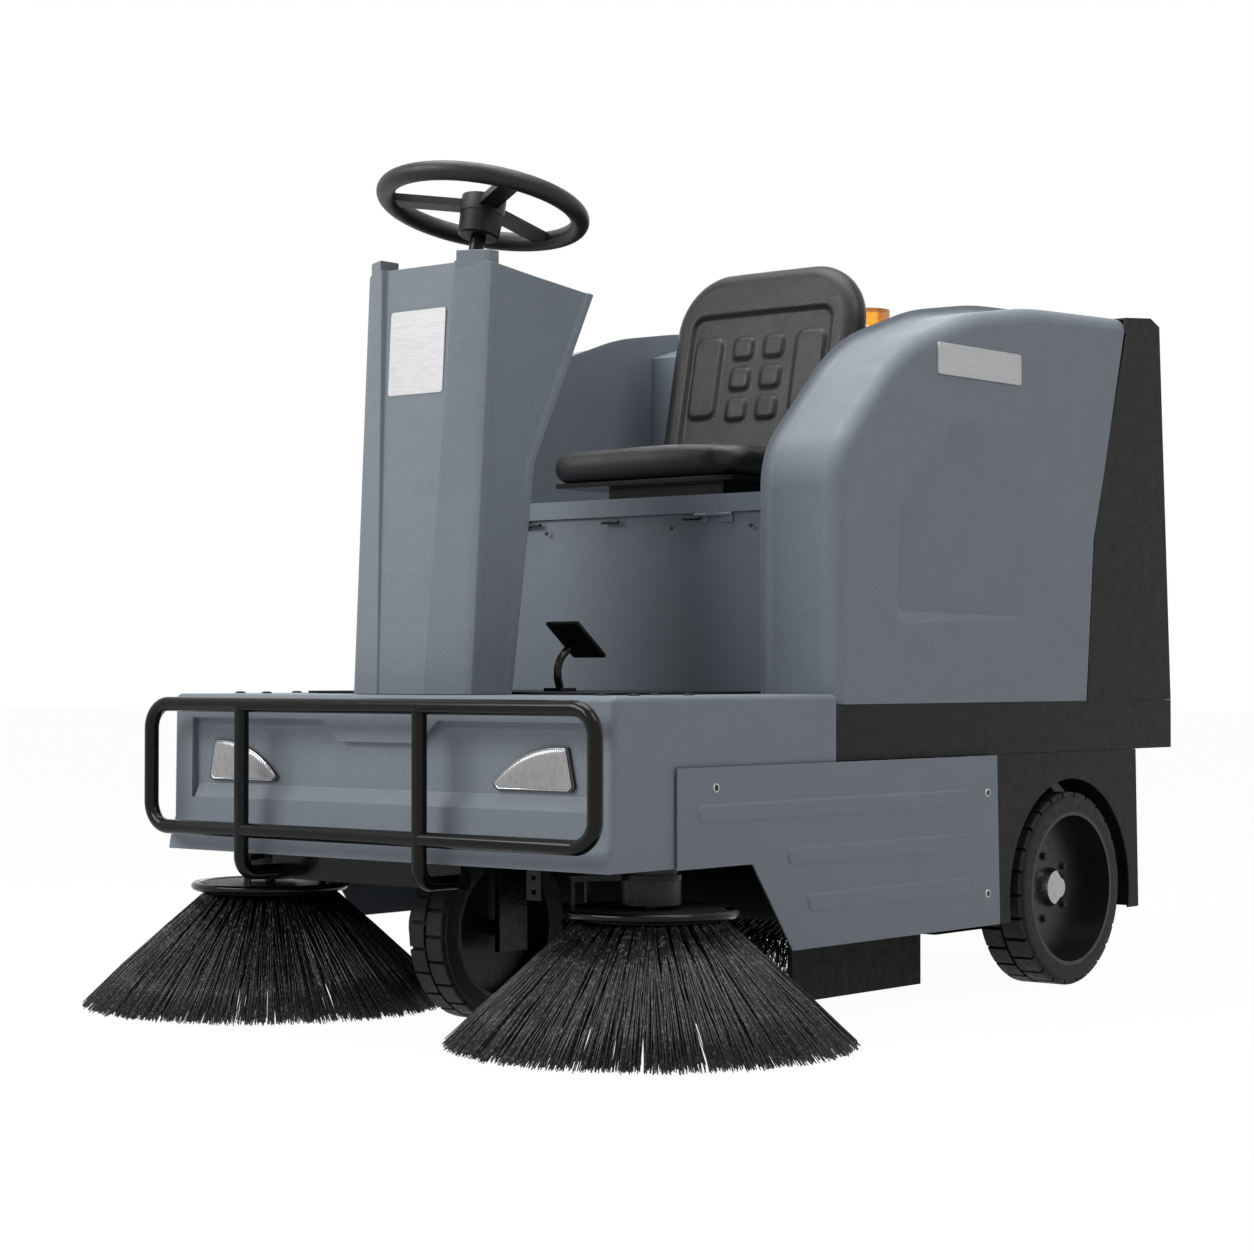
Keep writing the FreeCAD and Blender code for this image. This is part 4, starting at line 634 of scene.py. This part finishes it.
def stadium(centre, sign, half_y):
    """A raised stadium on a wall that faces along X, with a soft slope round it."""
    points = []
    for inset, rise in RIB_SLOPE:
        radius = RIB_HALF - inset
        for end in (1, -1):
            for k in range(RIB_END_STEPS + 1):
                turn = pi * k / RIB_END_STEPS - pi / 2
                y = end * (half_y - RIB_HALF + radius * cos(turn))
                points.append(centre + Vector((sign * RIB_PROUD * rise, y, end * radius * sin(turn))))
    return points, tube_faces(len(RIB_SLOPE), 2 * (RIB_END_STEPS + 1))


def panel_ribs():
    """Three pressed stadium ribs on each side panel."""
    for side, sign in SIDES:
        face = outer_face("side_panel_" + side, sign) - sign * RIB_SUNK
        ribs = [stadium(Vector((face, (start + RIB_REAR) / 2, RIB_TOP_Z - k * RIB_PITCH)), sign,
                        (RIB_REAR - start) / 2) for k, start in enumerate(RIB_FRONTS)]
        moulding("pressed_ribs_" + side, joined(ribs), "slate_sheet")


LEDGE_HALF = 0.3985
LEDGE_SECTION = ((-0.6950, 0.3302), (-0.6852, 0.3302), (-0.6852, 0.352))


def front_ledge():
    """The sloped ledge along the foot of the front recess."""
    points = [Vector((x, y, z)) for x in (-LEDGE_HALF, LEDGE_HALF) for y, z in LEDGE_SECTION]
    moulding("front_ledge", (points, tube_faces(2, len(LEDGE_SECTION))), "slate_moulding")


HOUSE_RADIUS, HOUSE_GAUGE, HOUSE_X = 0.1945, 0.003, (0.357, 0.4350)
HOUSE_START, HOUSE_TURN, HOUSE_STEPS = radians(-12), radians(204), 36


def wheel_houses():
    """Dark liners over the rear wheels, behind the arches."""
    inner, outer = HOUSE_X
    wall = HOUSE_RADIUS + HOUSE_GAUGE
    for side, sign in SIDES:
        middle = centred("rear_rim_" + side)[0]
        middle.x = 0
        points = []
        for k in range(HOUSE_STEPS + 1):
            turn = HOUSE_START + HOUSE_TURN * k / HOUSE_STEPS
            for x, r in ((inner, HOUSE_RADIUS), (outer, HOUSE_RADIUS), (outer, wall), (inner, wall)):
                points.append(wheel_point(middle, sign * x, r, turn))
        moulding("wheel_house_" + side, (points, tube_faces(HOUSE_STEPS + 1, 4)), "black_moulding")


HUB_TILT = radians(13)
HUB_TOP, HUB_DROP = Vector((0, -0.4755, 1.222)), 0.024
HUB_PROFILE = ((-0.024, 0.012), (-0.024, 0.028), (-0.0215, 0.031), (0.015, 0.033), (0.018, 0.030),
               (0.0195, 0.012), (0.0195, THIN), (-0.024, THIN))


def steering_hub():
    """The drum under the steering wheel's spokes."""
    axis = Vector((0, sin(HUB_TILT), cos(HUB_TILT)))
    form = lathe(HUB_PROFILE, HUB_TOP - axis * HUB_DROP, axis)
    piece("hub_drum", form, "wheel_grip", "steering")


# Upholstery

COSINE_SHARE = 0.35


def inside_slab(x, z, half_x, half_z, radius):
    """How far inside a rectangle with round corners a point is."""
    dx, dz = abs(x) - half_x + radius, abs(z) - half_z + radius
    outside = hypot(max(dx, 0), max(dz, 0))
    return radius - outside - min(max(dx, dz), 0)


def spaced(k, count):
    """From -1 to 1 in steps that are finer towards both ends."""
    return -COSINE_SHARE * cos(pi * k / count) + (1 - COSINE_SHARE) * (2 * k / count - 1)


def pad_form(half_x, half_z, radii, thickness, edge, relief, step):
    """A closed pad in its own frame: X across, Z up from its foot, front towards -Y, with round corners
    (radii at its foot and its top) and a soft edge. relief(x, z, inside) moves the front along -Y."""
    low_radius, top_radius = radii
    columns, rows = int(2 * half_x / step), int(2 * half_z / step)
    points, keys = [], {}

    def half_width(z, radius):
        over = abs(z) - half_z + radius
        if over <= 0:
            return half_x
        return half_x - radius + sqrt(max(radius * radius - over * over, 0))

    def point(r, c, front):
        border = r in (0, rows) or c in (0, columns)
        key = (r, c, front or border)
        if key not in keys:
            z = spaced(r, rows) * half_z
            radius = top_radius if z > 0 else low_radius
            x = spaced(c, columns) * half_width(z, radius)
            inside = 0.0 if border else max(inside_slab(x, z, half_x, half_z, radius), 0.0)
            share = min(inside / edge, 1.0)
            y = thickness / 2 * sqrt(1 - (1 - share) ** 2)
            if front:
                y = -y - (0 if border else relief(x, z, inside))
            keys[key] = len(points)
            points.append(Vector((x, y, z + half_z)))
        return keys[key]

    faces = []
    for r in range(rows):
        for c in range(columns):
            for front in (True, False):
                quad = [point(r, c, front), point(r, c + 1, front), point(r + 1, c + 1, front),
                        point(r + 1, c, front)]
                faces.append(quad if front else quad[::-1])
    return points, faces


BACK_HALF_X, BACK_HALF_Z, BACK_THICKNESS, BACK_EDGE = 0.194, 0.181, 0.052, 0.030
BACK_CORNERS, BACK_STEP = (0.045, 0.105), 0.0035
BACK_FOOT, BACK_RECLINE = Vector((0, 0.190, 0.852)), radians(12)
BACK_INSET = {"centre": (0, 0.160), "half": (0.147, 0.122), "corner": 0.022}
BACK_SIDE_PAD = {"half": (0.029, 0.070), "corner": 0.014}
BACK_SMALL_PAD = {"half": (0.020, 0.018), "corner": 0.009}
SIDE_PAD_AT, SMALL_PAD_AT, SMALL_PAD_PITCH = (0.108, 0.172), (0.032, 0.112), 0.054
INSET_DEPTH, PAD_RISE, PAD_SOFT, BACK_CROWN = 0.007, 0.0055, 0.007, 0.004


def raised(x, z, centre, half, corner):
    """How much of a small rounded pad's height there is at a point."""
    inside = inside_slab(x - centre[0], z - centre[1], *half, corner)
    share = min(max(inside / PAD_SOFT + 0.5, 0.0), 1.0)
    return share * share * (3 - 2 * share)


def back_relief(x, z, inside):
    """The sunk panel of the backrest with two tall pads and six small ones."""
    z = z + BACK_HALF_Z
    rise = 0.0
    for side in (-1, 1):
        rise = max(rise, raised(x, z, (side * SIDE_PAD_AT[0], SIDE_PAD_AT[1]), **BACK_SIDE_PAD))
        for row in range(3):
            at = (side * SMALL_PAD_AT[0], SMALL_PAD_AT[1] + row * SMALL_PAD_PITCH)
            rise = max(rise, raised(x, z, at, **BACK_SMALL_PAD))
    crown = BACK_CROWN * cos(x / BACK_HALF_X * pi / 2)
    return crown - raised(x, z, **BACK_INSET) * INSET_DEPTH + rise * PAD_RISE


def backrest():
    points, faces = pad_form(BACK_HALF_X, BACK_HALF_Z, BACK_CORNERS, BACK_THICKNESS, BACK_EDGE, back_relief,
                             BACK_STEP)
    lean = Matrix.Rotation(-BACK_RECLINE, 3, "X")
    points = [BACK_FOOT + lean @ p for p in points]
    obj = piece("backrest_cover", (points, faces), "seat_cover", "seat", crease=False)
    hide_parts("seat_back")


CUSHION_CORNERS, CUSHION_THICKNESS, CUSHION_EDGE, CUSHION_STEP = (0.060, 0.035), 0.046, 0.024, 0.004
CUSHION_MARGIN, CUSHION_DROP = 0.001, 0.003
CROWN_RISE, CROWN_HALF = 0.006, 0.204
CHANNEL_DEPTH, CHANNEL_AT, CHANNEL_WIDTH = 0.004, 0.052, 0.006
WRINKLES = ((22, 30, 3.1, 0.0022), (60, 70, 9.4, 0.0010))


def cushion_relief(x, z, inside):
    """The seat's crown, the roll round its edge and soft wrinkles along its front."""
    height = CROWN_RISE * cos(x / CROWN_HALF * pi / 2)
    height -= CHANNEL_DEPTH * exp(-((inside - CHANNEL_AT) / CHANNEL_WIDTH) ** 2)
    for pace_x, pace_z, layer, rise in WRINKLES:
        height += noise.noise(Vector((x * pace_x, z * pace_z, layer))) * rise
    return height


def cushion():
    centre, half = centred("seat_cushion")
    points, faces = pad_form(half.x - CUSHION_MARGIN, half.y, CUSHION_CORNERS, CUSHION_THICKNESS,
                             CUSHION_EDGE, cushion_relief, CUSHION_STEP)
    front, middle = centre.y - half.y, centre.z - CUSHION_DROP
    points = [Vector((p.x, front + p.z, middle - p.y)) for p in points]
    faces = [face[::-1] for face in faces]
    obj = piece("cushion_cover", (points, faces), "seat_cover", "seat", crease=False)
    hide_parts("seat_cushion")


# Brushes

def strand(points, faces, path, radii):
    """Adds one three-sided tapered strand along a path."""
    start = len(points)
    last = len(path) - 1
    side, up = ring_basis((path[-1] - path[0]).normalized())
    for k, place in enumerate(path):
        radius = between(radii, k / last)
        for corner in range(3):
            turn = tau * corner / 3
            points.append(place + (side * cos(turn) + up * sin(turn)) * radius)
    faces += [[start + i for i in face] for face in tube_faces(len(path), 3)]


# Rings of tufts: radius of the roots, tufts, reach of the tips and how uneven they are.
TUFT_RINGS = ((0.062, 30, 0.80, 0.16), (0.079, 36, 0.90, 0.12), (0.096, 42, 1.0, 0.09))
TUFT_STRANDS, TUFT_DRIFT, TUFT_RADIUS, TUFT_FAN = 42, 0.3, 0.005, 0.055
STRAND_RADII, STRAND_ARCH, STRAND_KINK = (0.0012, 0.0009), 0.006, 0.0012
TIP_HEIGHTS, BRUSH_MARGIN = (0.0015, 0.007), 0.001
BEND_STATIONS = (0, 0.33, 0.67, 1)


def side_brush_strands(side, sign):
    """Three rings of tufts under the brush disc, spread out as a cone down to the ground."""
    rng = random.Random(RNG_SEED + sign)
    hub, half = centred("brush_disc_" + side)
    hub.z -= half.z + BRUSH_MARGIN
    tip_reach = centred("brush_bristles_" + side)[1].x - BRUSH_MARGIN
    points, faces = [], []
    for root_radius, tufts, reach, uneven in TUFT_RINGS:
        for tuft in range(tufts):
            turn = tau * (tuft + rng.random() * TUFT_DRIFT) / tufts
            for _ in range(TUFT_STRANDS):
                spin = turn + rng.gauss(0, TUFT_FAN)
                place = Vector((cos(turn), sin(turn), 0)) * root_radius
                place += Vector((rng.uniform(-1, 1), rng.uniform(-1, 1), 0)) * TUFT_RADIUS
                root = hub + place
                tip_radius = tip_reach * reach * rng.uniform(1 - uneven, 1)
                tip = Vector((hub.x + cos(spin) * tip_radius, hub.y + sin(spin) * tip_radius,
                              rng.uniform(*TIP_HEIGHTS)))
                middle = root.lerp(tip, 0.5) + Vector((cos(spin), sin(spin), 0.6)) * STRAND_ARCH
                middle += Vector((rng.gauss(0, 1), rng.gauss(0, 1), rng.gauss(0, 1))) * STRAND_KINK
                path = [root.lerp(middle, t).lerp(middle.lerp(tip, t), t) for t in BEND_STATIONS]
                strand(points, faces, path, STRAND_RADII)
    obj = piece("side_bristles_" + side, (points, faces), "bristle", "side_brush_" + side,
                crease=False)
    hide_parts("brush_bristles_" + side)


ROLLER_CORE, ROLLER_SHAFT, ROLLER_STUB, CORE_EDGE = 0.052, 0.012, 0.014, 0.003
ROLLER_ROWS, ROLLER_TUFTS, ROLLER_STRANDS = 10, 46, 7
ROW_MARGIN, ROW_WAVE, ROW_FAN, ROOT_SUNK = 0.012, 0.25, 0.05, 0.002
ROOT_SCATTER, TIP_SCATTER, TIP_REACH = 0.004, 0.009, (0.94, 1.0)
ROLLER_STRAND_RADII = (0.0010, 0.0007)


def main_brush():
    """The sweeping roller: a core and its rows of strands."""
    rng = random.Random(RNG_SEED)
    centre, size = centred("main_brush")
    half, radius, face = size.x, size.z - THIN, size.x - ROLLER_STUB
    row_half = face - ROW_MARGIN
    profile = [(half, THIN), (half, ROLLER_SHAFT), (face, ROLLER_SHAFT), (face, ROLLER_CORE - CORE_EDGE),
               (face - CORE_EDGE, ROLLER_CORE)]
    profile = [(-x, r) for x, r in profile] + profile[::-1]
    core = lathe(profile, centre, ALONG_X, 40)
    piece("roller_core", core, "motor_black", "sweeping_brush")
    points, faces = [], []
    for row in range(ROLLER_ROWS):
        for tuft in range(ROLLER_TUFTS):
            share = tuft / (ROLLER_TUFTS - 1)
            x = between((-row_half, row_half), share)
            turn = tau * row / ROLLER_ROWS + ROW_WAVE * sin(tau * share)
            for _ in range(ROLLER_STRANDS):
                spin = turn + rng.gauss(0, ROW_FAN)
                reach = radius * rng.uniform(*TIP_REACH)
                root_x = x + rng.uniform(-1, 1) * ROOT_SCATTER
                tip_x = x + rng.uniform(-1, 1) * TIP_SCATTER
                root = wheel_point(centre, root_x, ROLLER_CORE - ROOT_SUNK, turn)
                tip = wheel_point(centre, tip_x, reach, spin)
                strand(points, faces, [root, root.lerp(tip, 0.5), tip], ROLLER_STRAND_RADII)
    bristles = piece("roller_bristles", (points, faces), "bristle", "sweeping_brush",
                     crease=False)
    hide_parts("main_brush")


# Tyres

TREAD_GROOVE, TREAD_DEPTH, TREAD_WALL, TREAD_SPLIT = 0.006, 0.008, 0.0008, 0.002
TREAD_SHOULDER, FLOOR_SHOULDER, BEAD_GAP = 0.0015, 0.005, 0.0003


def treaded_tyre(name, node, rim, body, pitches, inset):
    """A solid tyre with two staggered rows of blocks and a groove between them."""
    bead = centred(rim)[1].z + BEAD_GAP
    centre, size = centred(node)
    half, radius = size.x, size.z
    band, floor_radius = half - inset, radius - TREAD_DEPTH
    side = [(half, bead), (half, floor_radius - FLOOR_SHOULDER),
            (half - TREAD_SHOULDER, floor_radius - TREAD_SHOULDER)]
    row = [(band, floor_radius), (band, radius - TREAD_SHOULDER), (band - TREAD_SHOULDER, radius),
           (TREAD_SPLIT + TREAD_WALL, radius), (TREAD_SPLIT, floor_radius)]
    profile = [(x, r, None) for x, r in side] + [(x, r, "left") for x, r in row]
    profile += [(-x, r, "right") for x, r in reversed(row)] + [(-x, r, None) for x, r in reversed(side)]
    pitch = tau * radius / pitches
    share, wall = TREAD_GROOVE / pitch, TREAD_WALL / pitch
    points = []
    for k in range(pitches):
        for start, cut_side in ((0, "left"), (0.5, "right")):
            for offset, cut in ((0, False), (wall, True), (share - wall, True), (share, False)):
                turn = tau * (k + start + offset) / pitches
                for x, r, row_side in profile:
                    if cut and row_side == cut_side:
                        r = min(r, floor_radius)
                    points.append(wheel_point(centre, x, r, turn))
    faces = grid_faces(8 * pitches, len(profile), closed_rows=True, closed_columns=True)
    obj = piece(name, (points, faces), "tyre", body)
    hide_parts(node)


def tyres():
    treaded_tyre("front_tread", "front_tyre", "front_rim", "front_wheel", 22, 0.004)
    for side, sign in SIDES:
        treaded_tyre("rear_tread_" + side, "rear_tyre_" + side, "rear_rim_" + side, "rear_wheel_" + side,
                     26, 0.005)


# Lamps, plates and fasteners

LENS_SHRINK, LENS_COLUMNS, LENS_ROWS = 0.93, 150, 14
LENS_RIB_PITCH, LENS_RIB_HEIGHT, LENS_BULGE, LENS_END = 0.0042, 0.0009, 0.004, 0.001
LENS_RIM_RADIUS, LENS_RIM_PROUD = 0.0016, 0.0006


def span_at(outline, x):
    """Lowest and highest z of an outline at x."""
    levels = []
    for (x0, z0), (x1, z1) in zip(outline, outline[1:] + outline[:1]):
        if min(x0, x1) <= x <= max(x0, x1) and x0 != x1:
            levels.append(z0 + (z1 - z0) * (x - x0) / (x1 - x0))
    return min(levels), max(levels)


def lens_rim(side, outline, y):
    """A bright round bead along an outline."""
    bead = bpy.data.curves.new("rim_" + side, "CURVE")
    bead.dimensions = "3D"
    bead.bevel_depth = LENS_RIM_RADIUS
    bead.bevel_resolution = 3
    spline = bead.splines.new("POLY")
    spline.points.add(len(outline) - 1)
    for point, (x, z) in zip(spline.points, outline):
        point.co = (x, y, z, 1)
    spline.use_cyclic_u = True
    holder = placed("rim_" + side, bead)
    mesh = evaluated_mesh(holder)
    bpy.data.objects.remove(holder)
    mesh.materials.clear()
    mesh.materials.append(FINISHES["bright_steel"])
    mesh.shade_smooth()
    obj = placed("headlight_rim_" + side, mesh)
    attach(obj, "machine")


def headlight(side):
    """A ribbed lens with a bright rim on the lamp's housing."""
    low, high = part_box("headlight_" + side)
    vertices = frame["nodes"]["headlight_" + side].data.vertices
    face = low.y
    flat = sorted({(round(v.co.x, 5), round(v.co.z, 5)) for v in vertices if v.co.y < face + THIN})
    outline = [flat[k] for k in geometry.convex_hull_2d(flat)]
    middle = (low + high) / 2
    inner = [(middle.x + (x - middle.x) * LENS_SHRINK, middle.z + (z - middle.z) * LENS_SHRINK)
             for x, z in outline]
    left, right = min(x for x, z in inner), max(x for x, z in inner)
    points = []
    for c in range(LENS_COLUMNS + 1):
        x = left + (right - left) * (LENS_END + (1 - 2 * LENS_END) * c / LENS_COLUMNS)
        span = span_at(inner, x)
        for r in range(LENS_ROWS + 1):
            share = r / LENS_ROWS
            swell = sin(pi * share) ** 0.5 * sin(pi * c / LENS_COLUMNS) ** 0.3
            rib = LENS_RIB_HEIGHT * cos(tau * x / LENS_RIB_PITCH) * swell
            points.append(Vector((x, face - THIN - LENS_BULGE * swell - rib, between(span, share))))
    faces = grid_faces(LENS_COLUMNS + 1, LENS_ROWS + 1)
    piece("headlight_lens_" + side, (points, faces), "lens", "machine", crease=False)
    lens_rim(side, inner, face - LENS_RIM_PROUD)


PLATE_GAUGE, PLATE_EDGE, PLATE_CORNER_STEPS = 0.0022, 0.0006, 6
FRONT_PLATE = {"half_across": 0.0557, "half_up": 0.0625, "corner": 0.005}
FRONT_PLATE_AT, COLUMN_LEAN = Vector((0, -0.6165, 0.9905)), 0.0586
SIDE_PLATE = {"half_across": 0.122, "half_up": 0.025, "corner": 0.006}
SIDE_PLATE_Y, SIDE_PLATE_Z = 0.216, 1.013


def rounded_plate(centre, across, up, half_across, half_up, corner):
    """A thin plate with round corners; its front faces away along across x up."""
    normal = across.cross(up).normalized()
    loop = []
    for quarter, (sx, sz) in enumerate(((1, 1), (-1, 1), (-1, -1), (1, -1))):
        for k in range(PLATE_CORNER_STEPS + 1):
            turn = pi / 2 * (quarter + k / PLATE_CORNER_STEPS)
            loop.append((sx * (half_across - corner) + corner * cos(turn),
                         sz * (half_up - corner) + corner * sin(turn)))
    points = []
    for inset, height in ((0, 0), (0, PLATE_GAUGE - PLATE_EDGE), (PLATE_EDGE, PLATE_GAUGE)):
        shrink_a, shrink_u = 1 - inset / half_across, 1 - inset / half_up
        points += [centre + across * a * shrink_a + up * u * shrink_u + normal * height for a, u in loop]
    return points, tube_faces(3, len(loop))


def plates():
    """Two bare plates: one on the column's front, one on the left side shell."""
    up = Vector((0, COLUMN_LEAN, 1)).normalized()
    piece("front_plate", rounded_plate(FRONT_PLATE_AT, ALONG_X, up, **FRONT_PLATE), "plate", "machine")
    place = Vector((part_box("side_shell_left")[1].x, SIDE_PLATE_Y, SIDE_PLATE_Z))
    piece("side_plate", rounded_plate(place, ALONG_Y, ALONG_Z, **SIDE_PLATE), "plate", "machine")


def domed_head(centre, normal, radius, height):
    profile = [(0, radius), (height * 0.45, radius), (height * 0.8, radius * 0.8), (height, radius * 0.35),
               (height, 0.0001)]
    return lathe(profile, centre, normal, 20)


def hex_head(centre, normal, radius, height):
    seat, rim = height * 0.2, radius * 1.45
    washer = lathe([(0, rim), (seat, rim), (seat, radius * 0.6)], centre, normal, 24)
    head = lathe([(seat, radius), (height * 0.9, radius), (height, radius * 0.86), (height, 0.0001)],
                 centre, normal, 6)
    return joined([washer, head])


STUD_PLACES = ((-0.4805, 0.359), (0.220, 0.329), (0.220, 0.169))
STUD_RIM = ((0, 0.0044), (0, 0.0068), (0.0010, 0.0064), (0.0010, 0.0046))
STUD_CORE = (0.0045, 0.0006)
HINGE_XS, HINGE_DROP = (-0.16, 0.005, 0.17), 0.002
HINGE_END = ((0.017, 0.0004), (0.017, 0.003), (THIN, 0.003), (THIN, 0.0022))
COLLAR_PROFILE = ((0, 0.0004), (0, 0.003), (0.010, 0.003), (0.012, 0.001), (0.012, 0.0004))
COLLAR_DROP = 0.010


def small_trim():
    """Panel studs, lid hinges and the beacon's red collar."""
    rims, cores = [], []
    for side, sign in SIDES:
        face = outer_face("side_panel_" + side, sign)
        for y, z in STUD_PLACES:
            rims.append(lathe(STUD_RIM, Vector((face, y, z)), ALONG_X * sign, 28))
            cores.append(domed_head(Vector((face, y, z)), ALONG_X * sign, *STUD_CORE))
    piece("stud_rims", joined(rims), "zinc", "machine")
    piece("stud_cores", joined(cores), "motor_black")
    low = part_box("seat_lid")[0]
    profile = [(-x, r) for x, r in HINGE_END] + list(HINGE_END[::-1])
    hinges = [lathe(profile, Vector((x, low.y - THIN, low.z - HINGE_DROP)), ALONG_X, 20) for x in HINGE_XS]
    piece("lid_hinges", joined(hinges), "motor_black")
    foot, half = centred("beacon_base")
    foot.z += half.z - COLLAR_DROP
    collar = lathe([(a, half.x + r) for a, r in COLLAR_PROFILE], foot, ALONG_Z, 40)
    piece("beacon_collar", collar, "red", "machine")


DECK_Z, CAP_XS, CAP_YS = 0.4883, (-0.40, -0.34, 0.34, 0.40), (-0.60, -0.48)
CAP_SIZE, SCREW_SIZE, BOLT_SIZE = (0.008, 0.003), (0.0035, 0.0022), (0.0055, 0.006)
SCREW_XS, SCREW_Z = (-0.285, -0.13, 0.13, 0.285), 0.745
BOLTS, BOLT_CIRCLE = 5, 0.055
WEB_SUNK = 0.046 - 0.0003


def fasteners():
    """Screws and bolts, one mesh for each body."""
    caps = [domed_head(Vector((x, y, DECK_Z)), ALONG_Z, *CAP_SIZE) for x in CAP_XS for y in CAP_YS]
    piece("deck_caps", joined(caps), "black_moulding")
    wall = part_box("seat_box")[0].y
    screws = [domed_head(Vector((x, wall, SCREW_Z)), -ALONG_Y, *SCREW_SIZE) for x in SCREW_XS]
    piece("box_screws", joined(screws), "motor_black")
    for side, sign in SIDES:
        centre, half = centred("rear_rim_" + side)
        centre.x += sign * (half.x - WEB_SUNK)
        bolts = [hex_head(wheel_point(centre, 0, BOLT_CIRCLE, tau * (k + 0.5) / BOLTS), ALONG_X * sign,
                          *BOLT_SIZE) for k in range(BOLTS)]
        piece("wheel_bolts_" + side, joined(bolts), "motor_black", "rear_wheel_" + side)


backrest()
cushion()
steering_column()
panel_ribs()
front_ledge()
wheel_houses()
steering_hub()
for side_name, side_sign in SIDES:
    side_shell(side_name, side_sign)
    side_brush_strands(side_name, side_sign)
    headlight(side_name)
main_brush()
tyres()
plates()
small_trim()
fasteners()


# Floor, lights and camera

FLOOR_HALF, FLOOR_Z, FLOOR_WHITE = 30, -0.0005, 0.975
SKY_COLOUR, SKY_STRENGTH = (0.97, 0.985, 1.0, 1), 0.17
LIGHT_TARGET = (0, -0.1, 0.6)
LENS_LENGTH, CAMERA_PLACE, CAMERA_TURN = 79.5, (2.8405, -3.5319, 0.520), (90.9465, 0, 39.92)


def ray_share(tree, kinds):
    """1 for rays of those kinds and 0 for others."""
    rays = tree.nodes.new("ShaderNodeLightPath")
    value = rays.outputs[kinds[0]]
    for kind in kinds[1:]:
        most = tree.nodes.new("ShaderNodeMath")
        most.operation = "MAXIMUM"
        tree.links.new(value, most.inputs[0])
        tree.links.new(rays.outputs[kind], most.inputs[1])
        value = most.outputs["Value"]
    return value


def mixed_output(tree, share, lit, white, output):
    """Shows the white shader to that share of the rays, and the lit one to the others."""
    mix = tree.nodes.new("ShaderNodeMixShader")
    tree.links.new(share, mix.inputs["Fac"])
    tree.links.new(lit, mix.inputs[1])
    tree.links.new(white, mix.inputs[2])
    tree.links.new(mix.outputs["Shader"], tree.nodes[output].inputs["Surface"])


def floor():
    """A pale floor that is as bright as the backdrop to the camera and still takes the shadow."""
    surface = Surface("studio_floor", (0.80, 0.80, 0.80), 0.9, specular=0.0)
    surface.mottle(0.6, 0.01)
    glow = surface.add("ShaderNodeEmission", {"Strength": 1.0})
    share = surface.add("ShaderNodeMath", {1: FLOOR_WHITE}, operation="MULTIPLY")
    surface.link(ray_share(surface.tree, ("Is Camera Ray", "Is Glossy Ray")), share.inputs[0])
    mixed_output(surface.tree, share.outputs["Value"], surface.shader.outputs["BSDF"],
                 glow.outputs["Emission"], "Material Output")
    corners = [(x * FLOOR_HALF, y * FLOOR_HALF, FLOOR_Z) for x, y in ((-1, -1), (1, -1), (1, 1), (-1, 1))]
    mesh = form_mesh("studio_floor", (corners, [(0, 1, 2, 3)]))
    mesh.materials.append(surface.material)
    obj = placed("studio_floor", mesh)


def world():
    """Soft grey light all round; white where the camera, glossy or see-through rays meet it."""
    sky = bpy.data.worlds.new("studio")
    bpy.context.scene.world = sky
    sky.use_nodes = True
    tree = sky.node_tree
    light = tree.nodes["Background"]
    light.inputs["Color"].default_value = SKY_COLOUR
    light.inputs["Strength"].default_value = SKY_STRENGTH
    white = tree.nodes.new("ShaderNodeBackground")
    white.inputs["Color"].default_value = (1, 1, 1, 1)
    white.inputs["Strength"].default_value = 1.0
    share = ray_share(tree, ("Is Camera Ray", "Is Transmission Ray", "Is Glossy Ray"))
    mixed_output(tree, share, light.outputs["Background"], white.outputs["Background"], "World Output")


def area_light(name, place, size, watts, target=LIGHT_TARGET):
    data = bpy.data.lights.new(name, "AREA")
    data.shape = "RECTANGLE"
    data.size, data.size_y = size
    data.energy = watts
    obj = placed(name, data)
    obj.location = place
    obj.rotation_euler = (Vector(target) - Vector(place)).to_track_quat("-Z", "Y").to_euler()


def camera():
    data = bpy.data.cameras.new("photo_view")
    data.sensor_width = 36
    data.lens = LENS_LENGTH
    data.clip_start, data.clip_end = 0.1, 200
    obj = placed("photo_view", data)
    obj.location = CAMERA_PLACE
    obj.rotation_euler = [radians(turn) for turn in CAMERA_TURN]
    bpy.context.scene.camera = obj


floor()
world()
area_light("top_light", (-0.2, -0.2, 3.6), (2.4, 2.4), 105)
area_light("front_light", (-1.6, -3.9, 3.0), (3.0, 1.8), 165)
area_light("side_light", (2.7, -0.3, 3.9), (1.8, 1.8), 62, (0.3, 0.1, 0.7))
area_light("back_light", (-2.6, 3.4, 2.4), (2.4, 1.8), 34)
camera()
bpy.context.scene.view_settings.view_transform = "Standard"
